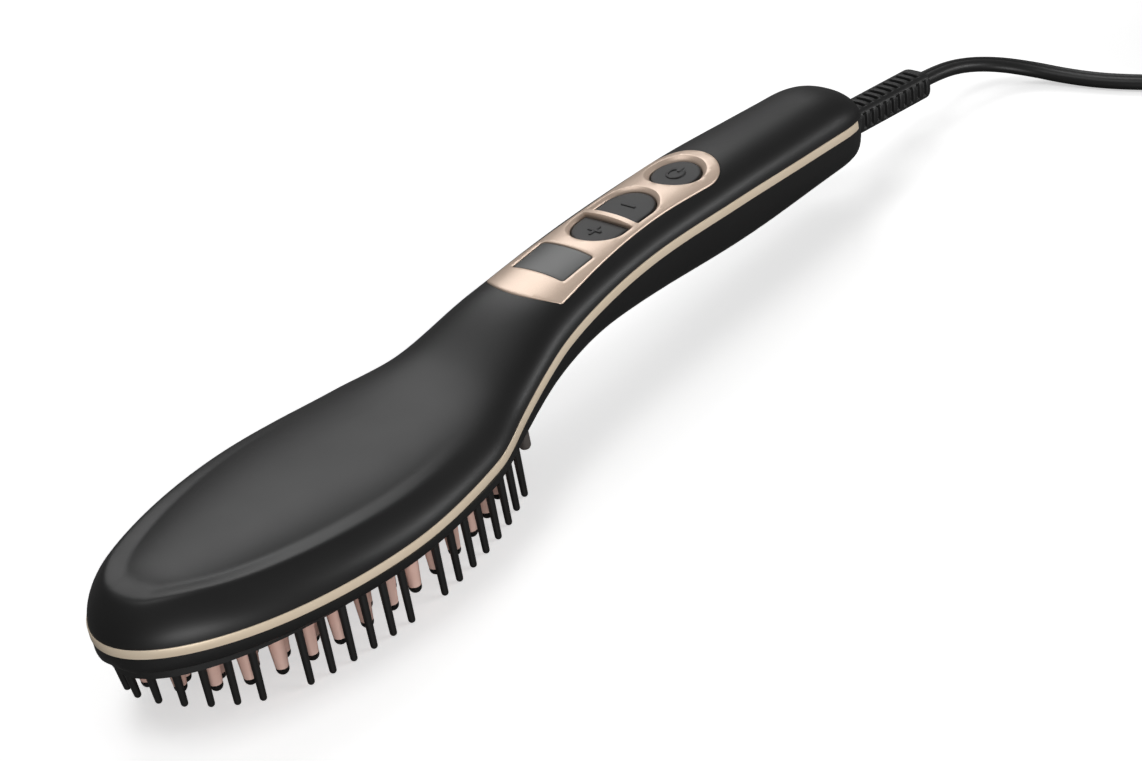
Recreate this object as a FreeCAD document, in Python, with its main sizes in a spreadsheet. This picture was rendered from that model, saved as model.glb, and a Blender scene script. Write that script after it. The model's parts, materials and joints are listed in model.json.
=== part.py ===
# Heated straightening brush with a mains cord: a parametric FreeCAD document.
# Millimetres. The brush lies with its bristles down: +X runs from the nose of
# the head to the tail of the handle, +Z is up. Pieces are drawn from the nose
# (x = 0) at the level of the head's trim line (z = 0), and each one's
# Placement then moves it to the frame's origin, on the floor below the middle.
import FreeCAD, Part
import math
import os
import Sketcher

Vector = FreeCAD.Vector
Rotation = FreeCAD.Rotation

os.makedirs("parts", exist_ok=True)
doc = FreeCAD.newDocument("straightening_brush")

# ---------------------------------------------------------------- sizes
SIZES = [
    # outline of the body in plan, from the nose
    ("body_length", 293.0, "nose to the middle of the tail's end face"),
    ("head_half_width", 35.8, "widest half width of the head"),
    ("head_wide_x", 75.0, "where the head is widest"),
    ("nose_power", 1.81, "roundness of the nose"),
    ("taper_x", 110.0, "head narrowing towards the neck"),
    ("taper_half_width", 31.2, "half width there"),
    ("shoulder_x", 130.0, "rear of the head"),
    ("shoulder_half_width", 23.9, "half width there"),
    ("neck_x", 148.0, "neck"),
    ("neck_half_width", 19.9, "half width there"),
    ("grip_front_x", 165.0, "front of the grip"),
    ("grip_front_half_width", 17.7, "half width there"),
    ("grip_half_width", 16.5, "half width of the grip"),
    ("grip_rear_x", 235.0, "rear of the grip"),
    ("tail_x", 281.0, "where the tail starts to close"),
    ("tail_half_width", 15.0, "half width there"),
    ("tail_end_half_width", 10.8, "half width at the end face"),
    # side view: the trim line and the heights above and below it
    ("nose_trim_rise", 3.3, "trim line at the nose"),
    ("head_trim_drop", 0.9, "trim line's lowest point, under the head"),
    ("neck_trim_rise", 7.0, "trim line at the neck"),
    ("grip_trim_rise", 10.3, "trim line at the top of the arch"),
    ("tail_trim_rise", 1.5, "trim line at the tail"),
    ("head_crown", 13.5, "cover above the trim line, head"),
    ("neck_crown", 10.4, "cover above the trim line, neck"),
    ("grip_crown", 8.5, "cover above the trim line, grip"),
    ("tail_crown", 9.9, "cover above the trim line, tail"),
    ("tail_end_crown", 5.0, "cover above the trim line, end face"),
    ("head_skirt", 6.4, "head below the trim line"),
    ("neck_belly", 12.3, "handle below the trim line, neck"),
    ("grip_belly", 18.6, "handle below the trim line, grip"),
    ("tail_belly", 14.9, "handle below the trim line, tail"),
    ("crown_power", 2.3, "squareness of the cover's section"),
    ("skirt_power", 8.0, "squareness of the head's skirt"),
    ("belly_power", 2.6, "squareness of the handle's underside"),
    # mouldings
    ("wall", 2.0, "wall of the mouldings"),
    ("ledge", 1.2, "ledges and flanges behind a wall"),
    ("gap", 0.15, "clearance between fixed pieces"),
    ("key_gap", 0.3, "clearance round a moving key"),
    ("trim_width", 2.6, "height of the trim band"),
    ("trim_proud", 0.25, "trim band and panel stand proud"),
    ("trim_end_x", 290.5, "rear end of the trim band"),
    # head
    ("head_end_x", 132.0, "rear edge of the opening under the head"),
    ("lip_inset", 2.6, "lip round the opening"),
    ("lip_level", -5.0, "top of the lip"),
    ("comb_level", -6.4, "underside of the comb ring"),
    ("comb_inner_inset", 5.45, "inner edge of the comb ring"),
    ("comb_bar", 6.0, "bar across the rear of the comb ring"),
    ("flange_level", -3.4, "top of the comb ring"),
    ("plate_level", -7.0, "underside of the heat plate"),
    ("plate_top", -1.8, "top of the heat plate"),
    ("bristle_inset", 4.1, "line of the cool bristles"),
    ("bristle_pitch", 6.45, "cool bristles along the line"),
    ("bristle_root_radius", 1.15, "cool bristle at the root"),
    ("bristle_tip_radius", 0.95, "cool bristle at the tip"),
    ("bristle_socket", 1.8, "depth of a bristle's socket"),
    ("bristle_level", 24.0, "tips of the bristles below the datum"),
    ("bristle_lean", 8.0, "inward lean of the foremost bristles, degrees"),
    ("tip_arc_x", 42.0, "tips of bristles and pins rise ahead of here"),
    ("tip_arc_radius", 78.0, "radius of that rise towards the nose"),
    ("pin_inset", 9.0, "outer line of the heated pins"),
    ("pin_row", 6.2, "distance between lines of pins"),
    ("pin_pitch", 8.6, "pins along a line"),
    ("pin_root_radius", 2.5, "heated pin at the root"),
    ("pin_end_radius", 1.75, "heated pin at the cap"),
    ("pin_end_level", -18.6, "lower end of the metal pins"),
    ("cap_level", -21.0, "tips of the pin caps"),
    ("heater_length", 70.0, "ceramic heater"),
    ("heater_width", 11.0, "ceramic heater"),
    ("heater_thickness", 1.6, "ceramic heater"),
    ("heater_x", 34.0, "front end of the heaters"),
    ("heater_middle_y", 10.5, "heater's centre line from the middle"),
    ("mica_thickness", 0.4, "insulating sheet"),
    ("clamp_thickness", 1.0, "spring plate over the heaters"),
    ("clamp_edge", 3.0, "clamp and sheet beyond the heaters"),
    ("plate_screw_x", 66.0, "side screws of the clamp"),
    ("plate_screw_y", 21.5, "side screws of the clamp"),
    ("shield_inset", 8.5, "heat shield's outer face"),
    ("shield_wall", 1.3, "heat shield's wall"),
    ("shield_top", 5.4, "top of the heat shield"),
    ("shield_end_x", 127.0, "rear of the heat shield"),
    ("post_radius", 2.5, "posts from the cover to the shield"),
    # control panel on the handle
    ("panel_front_x", 155.5, "front of the panel's curved edge"),
    ("panel_corner_x", 160.0, "front corners of the panel"),
    ("panel_half_width", 12.5, "half width of the panel"),
    ("panel_flange_level", 11.2, "lower edge of the panel's flange"),
    ("power_x", 226.0, "power button, centre of the panel's round end"),
    ("power_radius", 7.25, "power button"),
    ("power_rim", 1.5, "bevel round the power button"),
    ("display_x", 172.7, "middle of the display window"),
    ("display_length", 13.2, "display window along the handle"),
    ("display_width", 18.4, "display window across the handle"),
    ("keys_front_x", 184.3, "front of the key recess"),
    ("keys_rear_x", 213.0, "rear of the key recess"),
    ("keys_half_width", 8.3, "half width of the key recess"),
    ("bridge_x", 197.2, "middle of the bridge between the keys"),
    ("bridge_width", 1.9, "bridge between the keys"),
    ("key_top", 17.5, "top of the keys"),
    ("key_flange_top", 13.9, "top of the flange that holds a key in"),
    ("key_flange", 0.9, "flange beyond the key's side"),
    ("key_bottom", 12.6, "underside of the keys"),
    ("key_round", 0.5, "rounding of the keys' upper edges"),
    ("symbol_height", 0.35, "relief of the key symbols"),
    ("symbol_length", 5.0, "plus and minus strokes"),
    ("symbol_width", 1.1, "width of the strokes"),
    # electronics
    ("board_top", 8.2, "upper face of the control board"),
    ("board_thickness", 1.6, "control board"),
    ("board_front_x", 158.0, "front edge of the board"),
    ("board_rear_x", 247.0, "rear edge of the board"),
    ("board_half_width", 11.8, "half width of the board"),
    ("board_screw_front_x", 162.5, "board screws"),
    ("board_screw_rear_x", 238.0, "board screws"),
    ("board_screw_y", 8.6, "board screws"),
    ("switch_side", 6.0, "tact switch housing"),
    ("switch_height", 2.8, "tact switch housing"),
    ("stem_radius", 1.7, "tact switch stem"),
    ("stem_gap", 0.05, "stem's running clearance"),
    ("stem_depth", 1.6, "stem inside its housing"),
    ("display_height", 5.0, "digit display above the board"),
    ("ion_front_x", 142.0, "front of the ion generator"),
    ("ion_length", 15.0, "ion generator"),
    ("ion_half_width", 7.2, "ion generator"),
    ("ion_level", -1.5, "underside of the ion generator"),
    ("ion_height", 7.6, "ion generator"),
    ("nozzle_x", 138.0, "ion nozzles"),
    ("nozzle_y", 12.0, "ion nozzles"),
    ("nozzle_radius", 1.7, "ion nozzle"),
    ("nozzle_bore_radius", 1.1, "inside of a nozzle"),
    ("nozzle_seat", -5.0, "seat of the nozzle's flange"),
    ("nozzle_level", -18.2, "tip of the nozzles"),
    # screws
    ("screw_rear_x", 265.0, "rear housing screw"),
    ("screw_front_x", 152.0, "front housing screws"),
    ("screw_front_y", 11.6, "front housing screws"),
    ("screw_radius", 1.25, "housing screw shank"),
    ("screw_head_radius", 2.5, "housing screw head"),
    ("screw_head_height", 1.8, "housing screw head"),
    ("screw_bite", 6.0, "screw length in the cover"),
    ("boss_radius", 3.3, "screw bosses"),
    ("small_screw_radius", 0.9, "board and clamp screw shank"),
    ("small_head_radius", 1.8, "board and clamp screw head"),
    ("small_head_height", 1.2, "board and clamp screw head"),
    ("small_screw_length", 5.0, "board and clamp screw shank"),
    # swivel at the tail: its axis leaves the end face's middle
    ("swivel_level", -4.6, "axis at the end face, from the datum"),
    ("swivel_tilt", 8.0, "axis below +X, degrees"),
    ("bearing_radius", 5.4, "bearing in the end wall"),
    ("bearing_flange_radius", 6.5, "bearing's inner flange"),
    ("shaft_radius", 3.6, "collar's shaft"),
    ("shaft_gap", 0.05, "shaft's running clearance"),
    ("collar_radius", 8.0, "collar outside the tail"),
    ("collar_length", 5.0, "collar outside the tail"),
    ("collar_gap", 0.3, "collar to the end face"),
    ("carrier_radius", 2.5, "carrier of the contact rings"),
    ("carrier_length", 18.0, "carrier from the end face inwards"),
    ("ring_radius", 3.1, "contact rings"),
    ("ring_width", 1.6, "contact rings"),
    ("wire_bore_radius", 1.3, "bore for the cord's cores"),
    ("boot_length", 40.0, "cord boot"),
    ("boot_width", 10.6, "cord boot across"),
    ("boot_height", 8.6, "cord boot"),
    ("boot_round", 2.8, "corners of the boot's section"),
    ("boot_slots", 11.0, "slots in a row"),
    ("boot_slot_pitch", 3.3, "slots along the boot"),
    ("boot_slot_start", 2.2, "first slot from the collar"),
    ("boot_slot_width", 1.2, "slot along the boot"),
    ("boot_slot_depth", 1.5, "slot into the boot"),
    # cord and plug
    ("cord_radius", 1.9, "the cord's half thickness"),
    ("cord_width", 5.8, "the flat cord's width"),
    ("coil_turns", 4.0, "turns in a layer"),
    ("coil_layers", 2.0, "layers"),
    ("coil_middle_radius", 32.0, "middle of the turns"),
    ("coil_stub", 26.0, "straight run into the coil"),
    ("coil_exit", 20.0, "straight run out of the coil"),
    ("coil_start", 205.0, "where the first turn starts, degrees round the coil"),
    ("tie_width", 12.0, "strap round the coil"),
    ("tie_thickness", 1.2, "strap round the coil"),
    ("plug_width", 35.3, "plug's face"),
    ("plug_height", 13.7, "plug's face"),
    ("plug_depth", 30.0, "plug's body"),
    ("plug_pin_radius", 2.0, "plug pin, 4 mm"),
    ("plug_pin_spacing", 18.6, "plug pins"),
    ("plug_pin_length", 19.0, "plug pins"),
    ("plug_sleeve_length", 10.0, "insulated part of a pin"),
    ("relief_length", 20.0, "plug's strain relief"),
    ("relief_radius", 4.0, "plug's strain relief at its root"),
]
sheet = doc.addObject("Spreadsheet::Sheet", "sizes")
for row, (alias, value, meaning) in enumerate(SIZES, start=1):
    sheet.set("A%d" % row, alias)
    sheet.set("B%d" % row, str(value))
    sheet.set("C%d" % row, meaning)
    sheet.setAlias("B%d" % row, alias)
doc.recompute()


def size(alias):
    return float(getattr(sheet, alias))


LENGTH = size("body_length")
TILT = math.radians(size("swivel_tilt"))
CORD_LEVEL = size("cord_radius") - size("bristle_level")
OVERALL_LENGTH = (LENGTH + size("collar_length") * math.cos(TILT)
                  + size("collar_radius") * math.sin(TILT))
MIDDLE = ("(sizes.body_length + sizes.collar_length * cos(sizes.swivel_tilt * 1 deg)"
          " + sizes.collar_radius * sin(sizes.swivel_tilt * 1 deg)) / 2")
nodes = []


# ---------------------------------------------------------------- helpers
def bind(obj, prop, value):
    """Set a property to a number, or bind it to an expression."""
    if isinstance(value, str):
        obj.setExpression(prop, value)
    else:
        setattr(obj, prop, value)


def node(obj, label):
    """Name a finished sub-part and move it from the datum to the frame."""
    obj.Label = label
    obj.setExpression("Placement.Base.x", "-" + MIDDLE)
    obj.setExpression("Placement.Base.z", "sizes.bristle_level")
    nodes.append(obj)
    return obj


def node_of_shape(label, shape):
    """A sub-part from a finished shape; one with its own placement is wrapped."""
    if not shape.Placement.isIdentity():
        shape = Part.makeCompound([shape])
    feature = doc.addObject("Part::Feature", label)
    feature.Shape = shape
    return node(feature, label)


def put(obj, x, y, z):
    for axis, value in zip("xyz", (x, y, z)):
        if isinstance(value, str):
            obj.setExpression("Placement.Base." + axis, value)
        else:
            setattr(obj.Placement.Base, axis, value)
    return obj


def box(name, x, y, z, length, width, height):
    """A box from its low corner; every value may be an expression."""
    made = doc.addObject("Part::Box", name)
    bind(made, "Length", length)
    bind(made, "Width", width)
    bind(made, "Height", height)
    return put(made, x, y, z)


def cylinder(name, x, y, z, radius, height):
    made = doc.addObject("Part::Cylinder", name)
    bind(made, "Radius", radius)
    bind(made, "Height", height)
    return put(made, x, y, z)


def lying_cylinder(name, x, y, z, radius, height):
    """A cylinder along +X from the given point."""
    made = doc.addObject("Part::Cylinder", name)
    bind(made, "Radius", radius)
    bind(made, "Height", height)
    made.Placement.Rotation = Rotation(Vector(0, 1, 0), 90)
    return put(made, x, y, z)


def fuse(name, shapes):
    made = doc.addObject("Part::MultiFuse", name)
    made.Shapes = shapes
    return made


def cut(name, base, tools):
    made = doc.addObject("Part::Cut", name)
    made.Base = base
    made.Tool = tools[0] if len(tools) == 1 else fuse(name + "_tools", tools)
    return made


def group(label, members):
    """Separate solids of one node."""
    made = doc.addObject("Part::Compound", label)
    made.Links = members
    return node(made, label)


def sketch(body, name, role="XY_Plane", offset=None):
    made = body.newObject("Sketcher::SketchObject", name)
    plane = next(f for f in body.Origin.OriginFeatures if f.Role == role)
    made.AttachmentSupport = [(plane, "")]
    made.MapMode = "FlatFace"
    if offset is not None:
        made.setExpression("AttachmentOffset.Base.z", offset)
    return made


def hold(made, kind, geometry, end, value):
    """Hold one end of a line or arc at a distance from the sketch's origin."""
    now = number(value)
    index = made.addConstraint(Sketcher.Constraint(kind, -1, 1, geometry, end, now))
    made.renameConstraint(index, "held_%d" % index)
    made.setExpression("Constraints.held_%d" % index, value)


def number(expression):
    """What an expression gives at this moment."""
    return float(sheet.evalExpression(expression.replace("sizes.", "")))


def rectangle(made, x0, y0, x1, y1):
    """A rectangle between two corners given as expressions."""
    first = made.GeometryCount
    low = Vector(number(x0), number(y0), 0)
    high = Vector(number(x1), number(y1), 0)
    corners = [low, Vector(high.x, low.y, 0), high, Vector(low.x, high.y, 0)]
    for i in range(4):
        made.addGeometry(Part.LineSegment(corners[i], corners[(i + 1) % 4]))
    for i in range(4):
        made.addConstraint(Sketcher.Constraint(
            "Coincident", first + i, 2, first + (i + 1) % 4, 1))
    for i in (0, 2):
        made.addConstraint(Sketcher.Constraint("Horizontal", first + i))
        made.addConstraint(Sketcher.Constraint("Vertical", first + i + 1))
    hold(made, "DistanceX", first, 1, x0)
    hold(made, "DistanceY", first, 1, y0)
    hold(made, "DistanceX", first + 2, 1, x1)
    hold(made, "DistanceY", first + 2, 1, y1)


def circle(made, x, y, radius):
    centre = Vector(number(x), number(y), 0)
    index = made.addGeometry(Part.Circle(centre, Vector(0, 0, 1), number(radius)))
    held = made.addConstraint(Sketcher.Constraint("Radius", index, number(radius)))
    made.renameConstraint(held, "radius_%d" % held)
    made.setExpression("Constraints.radius_%d" % held, radius)
    hold(made, "DistanceX", index, 3, x)
    hold(made, "DistanceY", index, 3, y)


def pad(body, profile, name, length):
    made = body.newObject("PartDesign::Pad", name)
    made.Profile = profile
    bind(made, "Length", length)
    body.Tip = made
    return made


def revolve(points, axis_start=Vector(0, 0, 0), axis=Vector(0, 0, 1)):
    """A solid of revolution from a closed polygon of points."""
    face = Part.Face(Part.makePolygon(points + [points[0]]))
    return face.revolve(axis_start, axis, 360)


# ---------------------------------------------------------------- body form
def smooth(stations, x):
    """Height of a smooth curve through (x, height) stations."""
    if x <= stations[0][0]:
        return stations[0][1]
    if x >= stations[-1][0]:
        return stations[-1][1]
    slopes = []
    for i in range(len(stations)):
        left = stations[max(i - 1, 0)]
        right = stations[min(i + 1, len(stations) - 1)]
        slopes.append((right[1] - left[1]) / (right[0] - left[0]))
    i = max(k for k in range(len(stations) - 1) if stations[k][0] <= x)
    step = stations[i + 1][0] - stations[i][0]
    t = (x - stations[i][0]) / step
    start = (2 * t ** 3 - 3 * t ** 2 + 1) * stations[i][1]
    end = (3 * t ** 2 - 2 * t ** 3) * stations[i + 1][1]
    leaving = (t ** 3 - 2 * t ** 2 + t) * step * slopes[i]
    arriving = (t ** 3 - t ** 2) * step * slopes[i + 1]
    return start + leaving + end + arriving


LOFT_END = LENGTH + 3.0


def tail_closing(x, share, power):
    """1 up to the tail, then rounding down to share at the end."""
    start = size("tail_x")
    if x <= start:
        return 1.0
    reach = 1.0 - share ** power
    return (1.0 - reach * ((x - start) / (LOFT_END - start)) ** power) ** (1.0 / power)


def half_width(x):
    wide_x = size("head_wide_x")
    widest = size("head_half_width")
    if x < wide_x:
        return widest * math.sqrt(1 - ((wide_x - x) / wide_x) ** size("nose_power"))
    line = [
        (2 * wide_x - size("taper_x"), size("taper_half_width")),
        (wide_x, widest),
        (size("taper_x"), size("taper_half_width")),
        (size("shoulder_x"), size("shoulder_half_width")),
        (size("neck_x"), size("neck_half_width")),
        (size("grip_front_x"), size("grip_front_half_width")),
        (size("grip_front_x") + 30, size("grip_half_width")),
        (size("grip_rear_x"), size("grip_half_width")),
        (size("tail_x"), size("tail_half_width")),
        (LOFT_END, size("tail_half_width") - 0.5),
    ]
    share = size("tail_end_half_width") / size("tail_half_width")
    return smooth(line, x) * tail_closing(x, share, 2.6)


def trim_level(x):
    line = [
        (0, size("nose_trim_rise")),
        (size("head_wide_x") / 2, 0.4 * size("head_trim_drop") + 0.4),
        (size("head_wide_x") + 15, -size("head_trim_drop")),
        (size("shoulder_x") - 5, 0.0),
        (size("neck_x") + 7, size("neck_trim_rise")),
        (size("grip_front_x") + 25, size("grip_trim_rise")),
        (size("grip_rear_x") - 5, 0.8 * size("grip_trim_rise")),
        (size("tail_x") - 16, 0.35 * size("grip_trim_rise") + 1.0),
        (LOFT_END, size("tail_trim_rise") - 0.3),
    ]
    return smooth(line, x)


def crown(x):
    line = [
        (0, size("head_crown") - 1.3),
        (60, size("head_crown")),
        (size("taper_x"), 0.35 * size("head_crown") + 0.62 * size("neck_crown")),
        (size("neck_x"), size("neck_crown")),
        (size("grip_front_x") + 25, size("grip_crown")),
        (size("grip_rear_x") + 5, 0.5 * (size("grip_crown") + size("tail_crown")) + 0.4),
        (size("tail_x"), size("tail_crown")),
        (LOFT_END, size("tail_crown")),
    ]
    nose = 22.0
    height = smooth(line, x)
    if x < nose:
        height *= math.sqrt(1 - (1 - x / nose) ** 2.2)
    share = size("tail_end_crown") / size("tail_crown")
    return height * tail_closing(x, share, 2.2)


def belly(x):
    line = [
        (0, size("head_skirt")),
        (size("shoulder_x") - 12, size("head_skirt")),
        (size("shoulder_x") - 1, size("head_skirt") + 1.4),
        (size("neck_x") - 9, size("neck_belly") - 1.4),
        (size("neck_x") + 12, size("neck_belly") + 0.2),
        (size("grip_front_x") + 35, size("grip_belly") - 0.8),
        (size("grip_rear_x") + 5, size("grip_belly") + 0.3),
        (size("tail_x") - 6, size("tail_belly") + 1.2),
        (LOFT_END, size("tail_belly")),
    ]
    nose = 4.0
    depth = smooth(line, x)
    if x < nose:
        depth *= (1 - (1 - x / nose) ** 4) ** 0.25
    return depth


def belly_power(x):
    line = [
        (0, size("skirt_power")),
        (size("shoulder_x") - 30, size("skirt_power")),
        (size("neck_x") + 2, size("belly_power") + 0.4),
        (LOFT_END, size("belly_power")),
    ]
    return smooth(line, x)


def section_arc(x, w, height, power, sign):
    """Upper or lower half of a section: a superellipse from side to side."""
    steps = 12
    points = []
    for i in range(steps + 1):
        turn = math.pi * i / steps
        c = math.cos(turn)
        rise = abs(math.sin(turn)) ** (2.0 / power) if 0 < i < steps else 0.0
        y = -w * math.copysign(abs(c) ** (2.0 / power), c)
        points.append(Vector(x, y, trim_level(x) + sign * height * rise))
    if sign < 0:
        points.reverse()
    curve = Part.BSplineCurve()
    curve.interpolate(Points=points)
    return curve.toShape()


def section(x, inset):
    w = half_width(x) - inset
    top = section_arc(x, w, crown(x) - inset, size("crown_power"), 1)
    bottom = section_arc(x, w, belly(x) - inset, belly_power(x), -1)
    return Part.Wire([top, bottom])


NOSE_STATIONS = [0.05, 0.6, 2.0, 4.6, 9, 16, 27, 40, 56]
TAIL_SHARES = [0, 1 / 3, 0.6, 0.8, 1]


def body_form(inset):
    """The body's outer form, moved in by inset."""
    start = max(inset, 0.0)
    middle = size("head_wide_x")
    stations = [start + x for x in NOSE_STATIONS]
    spans = 11
    for i in range(spans):
        stations.append(middle + (size("tail_x") - middle) * i / spans)
    stations += [size("tail_x") + (LOFT_END - size("tail_x")) * t for t in TAIL_SHARES]
    return Part.makeLoft([section(x, inset) for x in stations], True, False)


def handle_form(inset, front, rear):
    """A stretch of the handle's form, moved in by inset."""
    spans = 6
    xs = [front + (rear - front) * i / spans for i in range(spans + 1)]
    return Part.makeLoft([section(x, inset) for x in xs], True, False)


def side_region(low, high):
    """The space between two heights over the trim line, across the body."""
    far = 60.0
    steps = 16
    xs = [-8 + (LOFT_END + 16) * i / steps for i in range(steps + 1)]

    def edge(lift):
        curve = Part.BSplineCurve()
        curve.interpolate(Points=[Vector(x, -far, trim_level(x) + lift) for x in xs])
        return curve.toShape()

    lower = edge(low)
    upper = edge(high)
    ends = [Part.makeLine(lower.Vertexes[k].Point, upper.Vertexes[k].Point) for k in (0, -1)]
    wire = Part.Wire(Part.__sortEdges__([lower, ends[1], upper, ends[0]]))
    return Part.Face(wire).extrude(Vector(0, 2 * far, 0))


def outline(x_end):
    """Points along the head's +Y side, from the nose to x_end."""
    wide_x = size("head_wide_x")
    xs = [wide_x * (1 - math.cos(math.pi / 2 * i / 70)) for i in range(71)]
    xs += [wide_x + 1.5 * i for i in range(1, 80)]
    return [(x, half_width(x)) for x in xs if x < x_end + 20]


def inset_line(inset, x_end):
    """The outline moved in by inset: (x, y, inward x, inward y) points."""
    edge = outline(x_end)
    line = [(inset, 0.0, 1.0, 0.0)]
    for i in range(1, len(edge) - 1):
        dx = edge[i + 1][0] - edge[i - 1][0]
        dy = edge[i + 1][1] - edge[i - 1][1]
        run = math.hypot(dx, dy)
        x = edge[i][0] + inset * dy / run
        y = edge[i][1] - inset * dx / run
        clear = min(math.hypot(x - px, y - py) for px, py in edge)
        if y > 0 and x <= x_end and clear > inset - 0.05:
            line.append((x, y, dy / run, -dx / run))
    return line


def along(line, distance):
    """The point of a line at a distance from its start, or None past its end."""
    for a, b in zip(line, line[1:]):
        step = math.hypot(b[0] - a[0], b[1] - a[1])
        if distance <= step:
            t = distance / step
            return tuple(p + t * (q - p) for p, q in zip(a, b))
        distance -= step
    return None


def line_length(line):
    return sum(math.hypot(b[0] - a[0], b[1] - a[1]) for a, b in zip(line, line[1:]))


def head_prism(inset, x_end, low, high):
    """The head's outline moved in, cut square at x_end, between two levels."""
    line = inset_line(inset, x_end)
    total = line_length(line)
    spans = 14
    side = [along(line, total * i / spans * 0.9999)[:2] for i in range(spans + 1)]
    side[-1] = (x_end, side[-1][1])
    points = [Vector(x, -y, low) for x, y in reversed(side[1:])]
    points += [Vector(x, y, low) for x, y in side]
    curve = Part.BSplineCurve()
    curve.interpolate(Points=points)
    edge = curve.toShape()
    rear = Part.makeLine(points[-1], points[0])
    return Part.Face(Part.Wire([edge, rear])).extrude(Vector(0, 0, high - low))


def tail_frame():
    """Placement of the swivel's own frame: +X along its axis, outwards."""
    base = Vector(LENGTH, 0, size("swivel_level"))
    return FreeCAD.Placement(base, Rotation(Vector(0, 1, 0), size("swivel_tilt")))


def in_tail_frame(shape):
    shape.Placement = tail_frame()
    return shape


def past_tail(start):
    """Everything past a plane across the swivel's axis."""
    return in_tail_frame(Part.makeBox(60, 80, 80, Vector(start, -40, -40)))


def column(x, y, radius, low, high):
    return Part.makeCylinder(radius, high - low, Vector(x, y, low))


WALL = size("wall")
PROUD = size("trim_proud")
outer_form = body_form(0.0).cut(past_tail(0.0))
cavity = body_form(WALL).cut(past_tail(-WALL))
HALF_TRIM = size("trim_width") / 2
SKY = 60.0
over_trim = side_region(HALF_TRIM, SKY)
under_trim = side_region(-SKY, -HALF_TRIM)
trim_slab = side_region(-HALF_TRIM, HALF_TRIM)
behind_trim = Part.makeBox(60, 120, 120, Vector(size("trim_end_x"), -60, -60))


# ---------------------------------------------------------------- screws
HOUSING_SCREWS = [
    (size("screw_rear_x"), 0.0),
    (size("screw_front_x"), size("screw_front_y")),
    (size("screw_front_x"), -size("screw_front_y")),
]
BOARD_SCREWS = [
    (x, y)
    for x in (size("board_screw_front_x"), size("board_screw_rear_x"))
    for y in (-size("board_screw_y"), size("board_screw_y"))
]


def screw_seat(x):
    """Level of a housing screw's head: the floor of its counterbore."""
    return trim_level(x) - size("screw_head_height") - 4.0


def screw_meeting(x):
    """Level where the housing's boss and the cover's boss meet."""
    return trim_level(x) + HALF_TRIM


def screw(head_radius, head_height, shank_radius, shank_length):
    """A pan-head screw, its head's seat at the origin, pointing up."""
    head = Part.makeCylinder(head_radius, head_height, Vector(0, 0, -head_height))
    drive = Part.makeCylinder(0.45 * head_radius, 0.5 * head_height,
                              Vector(0, 0, -head_height))
    shank = Part.makeCylinder(shank_radius, shank_length)
    return head.cut(drive).fuse(shank).removeSplitter()


# ---------------------------------------------------------------- mouldings
POST_SPOTS = [(34.0, 0.0), (66.0, 15.0), (66.0, -15.0), (102.0, 0.0)]


def power_recess():
    """The bevelled hole round the power button."""
    x = size("power_x")
    radius = size("power_radius") + size("key_gap")
    rim = size("power_rim")
    top = key_surface(x) + PROUD
    hole = column(x, 0, radius, 0, SKY)
    bevel = Part.makeCone(radius, radius + rim + 0.6, rim + 0.6, Vector(x, 0, top - rim))
    return hole.fuse(bevel)


def key_surface(x):
    """Height of the cover's middle line."""
    return trim_level(x) + crown(x)


def stadium(half_w, front, rear):
    """A face with round ends, from front to rear along X."""
    a = front + half_w
    b = rear - half_w
    edges = [
        Part.makeLine(Vector(a, -half_w, 0), Vector(b, -half_w, 0)),
        Part.Arc(Vector(b, -half_w, 0), Vector(rear, 0, 0), Vector(b, half_w, 0)).toShape(),
        Part.makeLine(Vector(b, half_w, 0), Vector(a, half_w, 0)),
        Part.Arc(Vector(a, half_w, 0), Vector(front, 0, 0), Vector(a, -half_w, 0)).toShape(),
    ]
    return Part.Face(Part.Wire(edges))


def key_recess():
    """The stadium hole of the plus and minus keys, less the bridge."""
    front = size("keys_front_x")
    rear = size("keys_rear_x")
    half_w = size("keys_half_width")
    hole = stadium(half_w, front, rear).extrude(Vector(0, 0, SKY))
    bevels = []
    for step in range(2):
        grow = 0.45 * (step + 1)
        wide = stadium(half_w + grow, front - grow, rear + grow)
        wide.translate(Vector(0, 0, size("key_top") + 0.15 + 0.45 * step))
        bevels.append(wide.extrude(Vector(0, 0, SKY)))
    bridge = Part.makeBox(size("bridge_width"), 2 * SKY, SKY,
                          Vector(size("bridge_x") - size("bridge_width") / 2, -SKY, 0))
    return hole.multiFuse(bevels).cut(bridge)


def display_hole(grow):
    length = size("display_length") + 2 * grow
    width = size("display_width") + 2 * grow
    corner = Vector(size("display_x") - length / 2, -width / 2, 0)
    block = Part.makeBox(length, width, SKY, corner)
    upright = [e for e in block.Edges if abs(e.tangentAt(0).z) > 0.9]
    return block.makeFillet(1.0 + max(grow, -0.8), upright)


def panel_prism(grow, low=0.0):
    """The panel's plan: a shallow arc in front, a half circle behind."""
    w = size("panel_half_width") + grow
    front = size("panel_front_x") - grow
    corner = size("panel_corner_x") - grow
    rear = size("power_x")
    edges = [
        Part.Arc(Vector(corner, w, 0), Vector(front, 0, 0), Vector(corner, -w, 0)).toShape(),
        Part.makeLine(Vector(corner, -w, 0), Vector(rear, -w, 0)),
        Part.Arc(Vector(rear, -w, 0), Vector(rear + w, 0, 0), Vector(rear, w, 0)).toShape(),
        Part.makeLine(Vector(rear, w, 0), Vector(corner, w, 0)),
    ]
    prism = Part.Face(Part.Wire(edges)).extrude(Vector(0, 0, SKY))
    prism.translate(Vector(0, 0, low))
    return prism


def fused(shapes):
    return shapes[0].multiFuse(shapes[1:])


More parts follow.
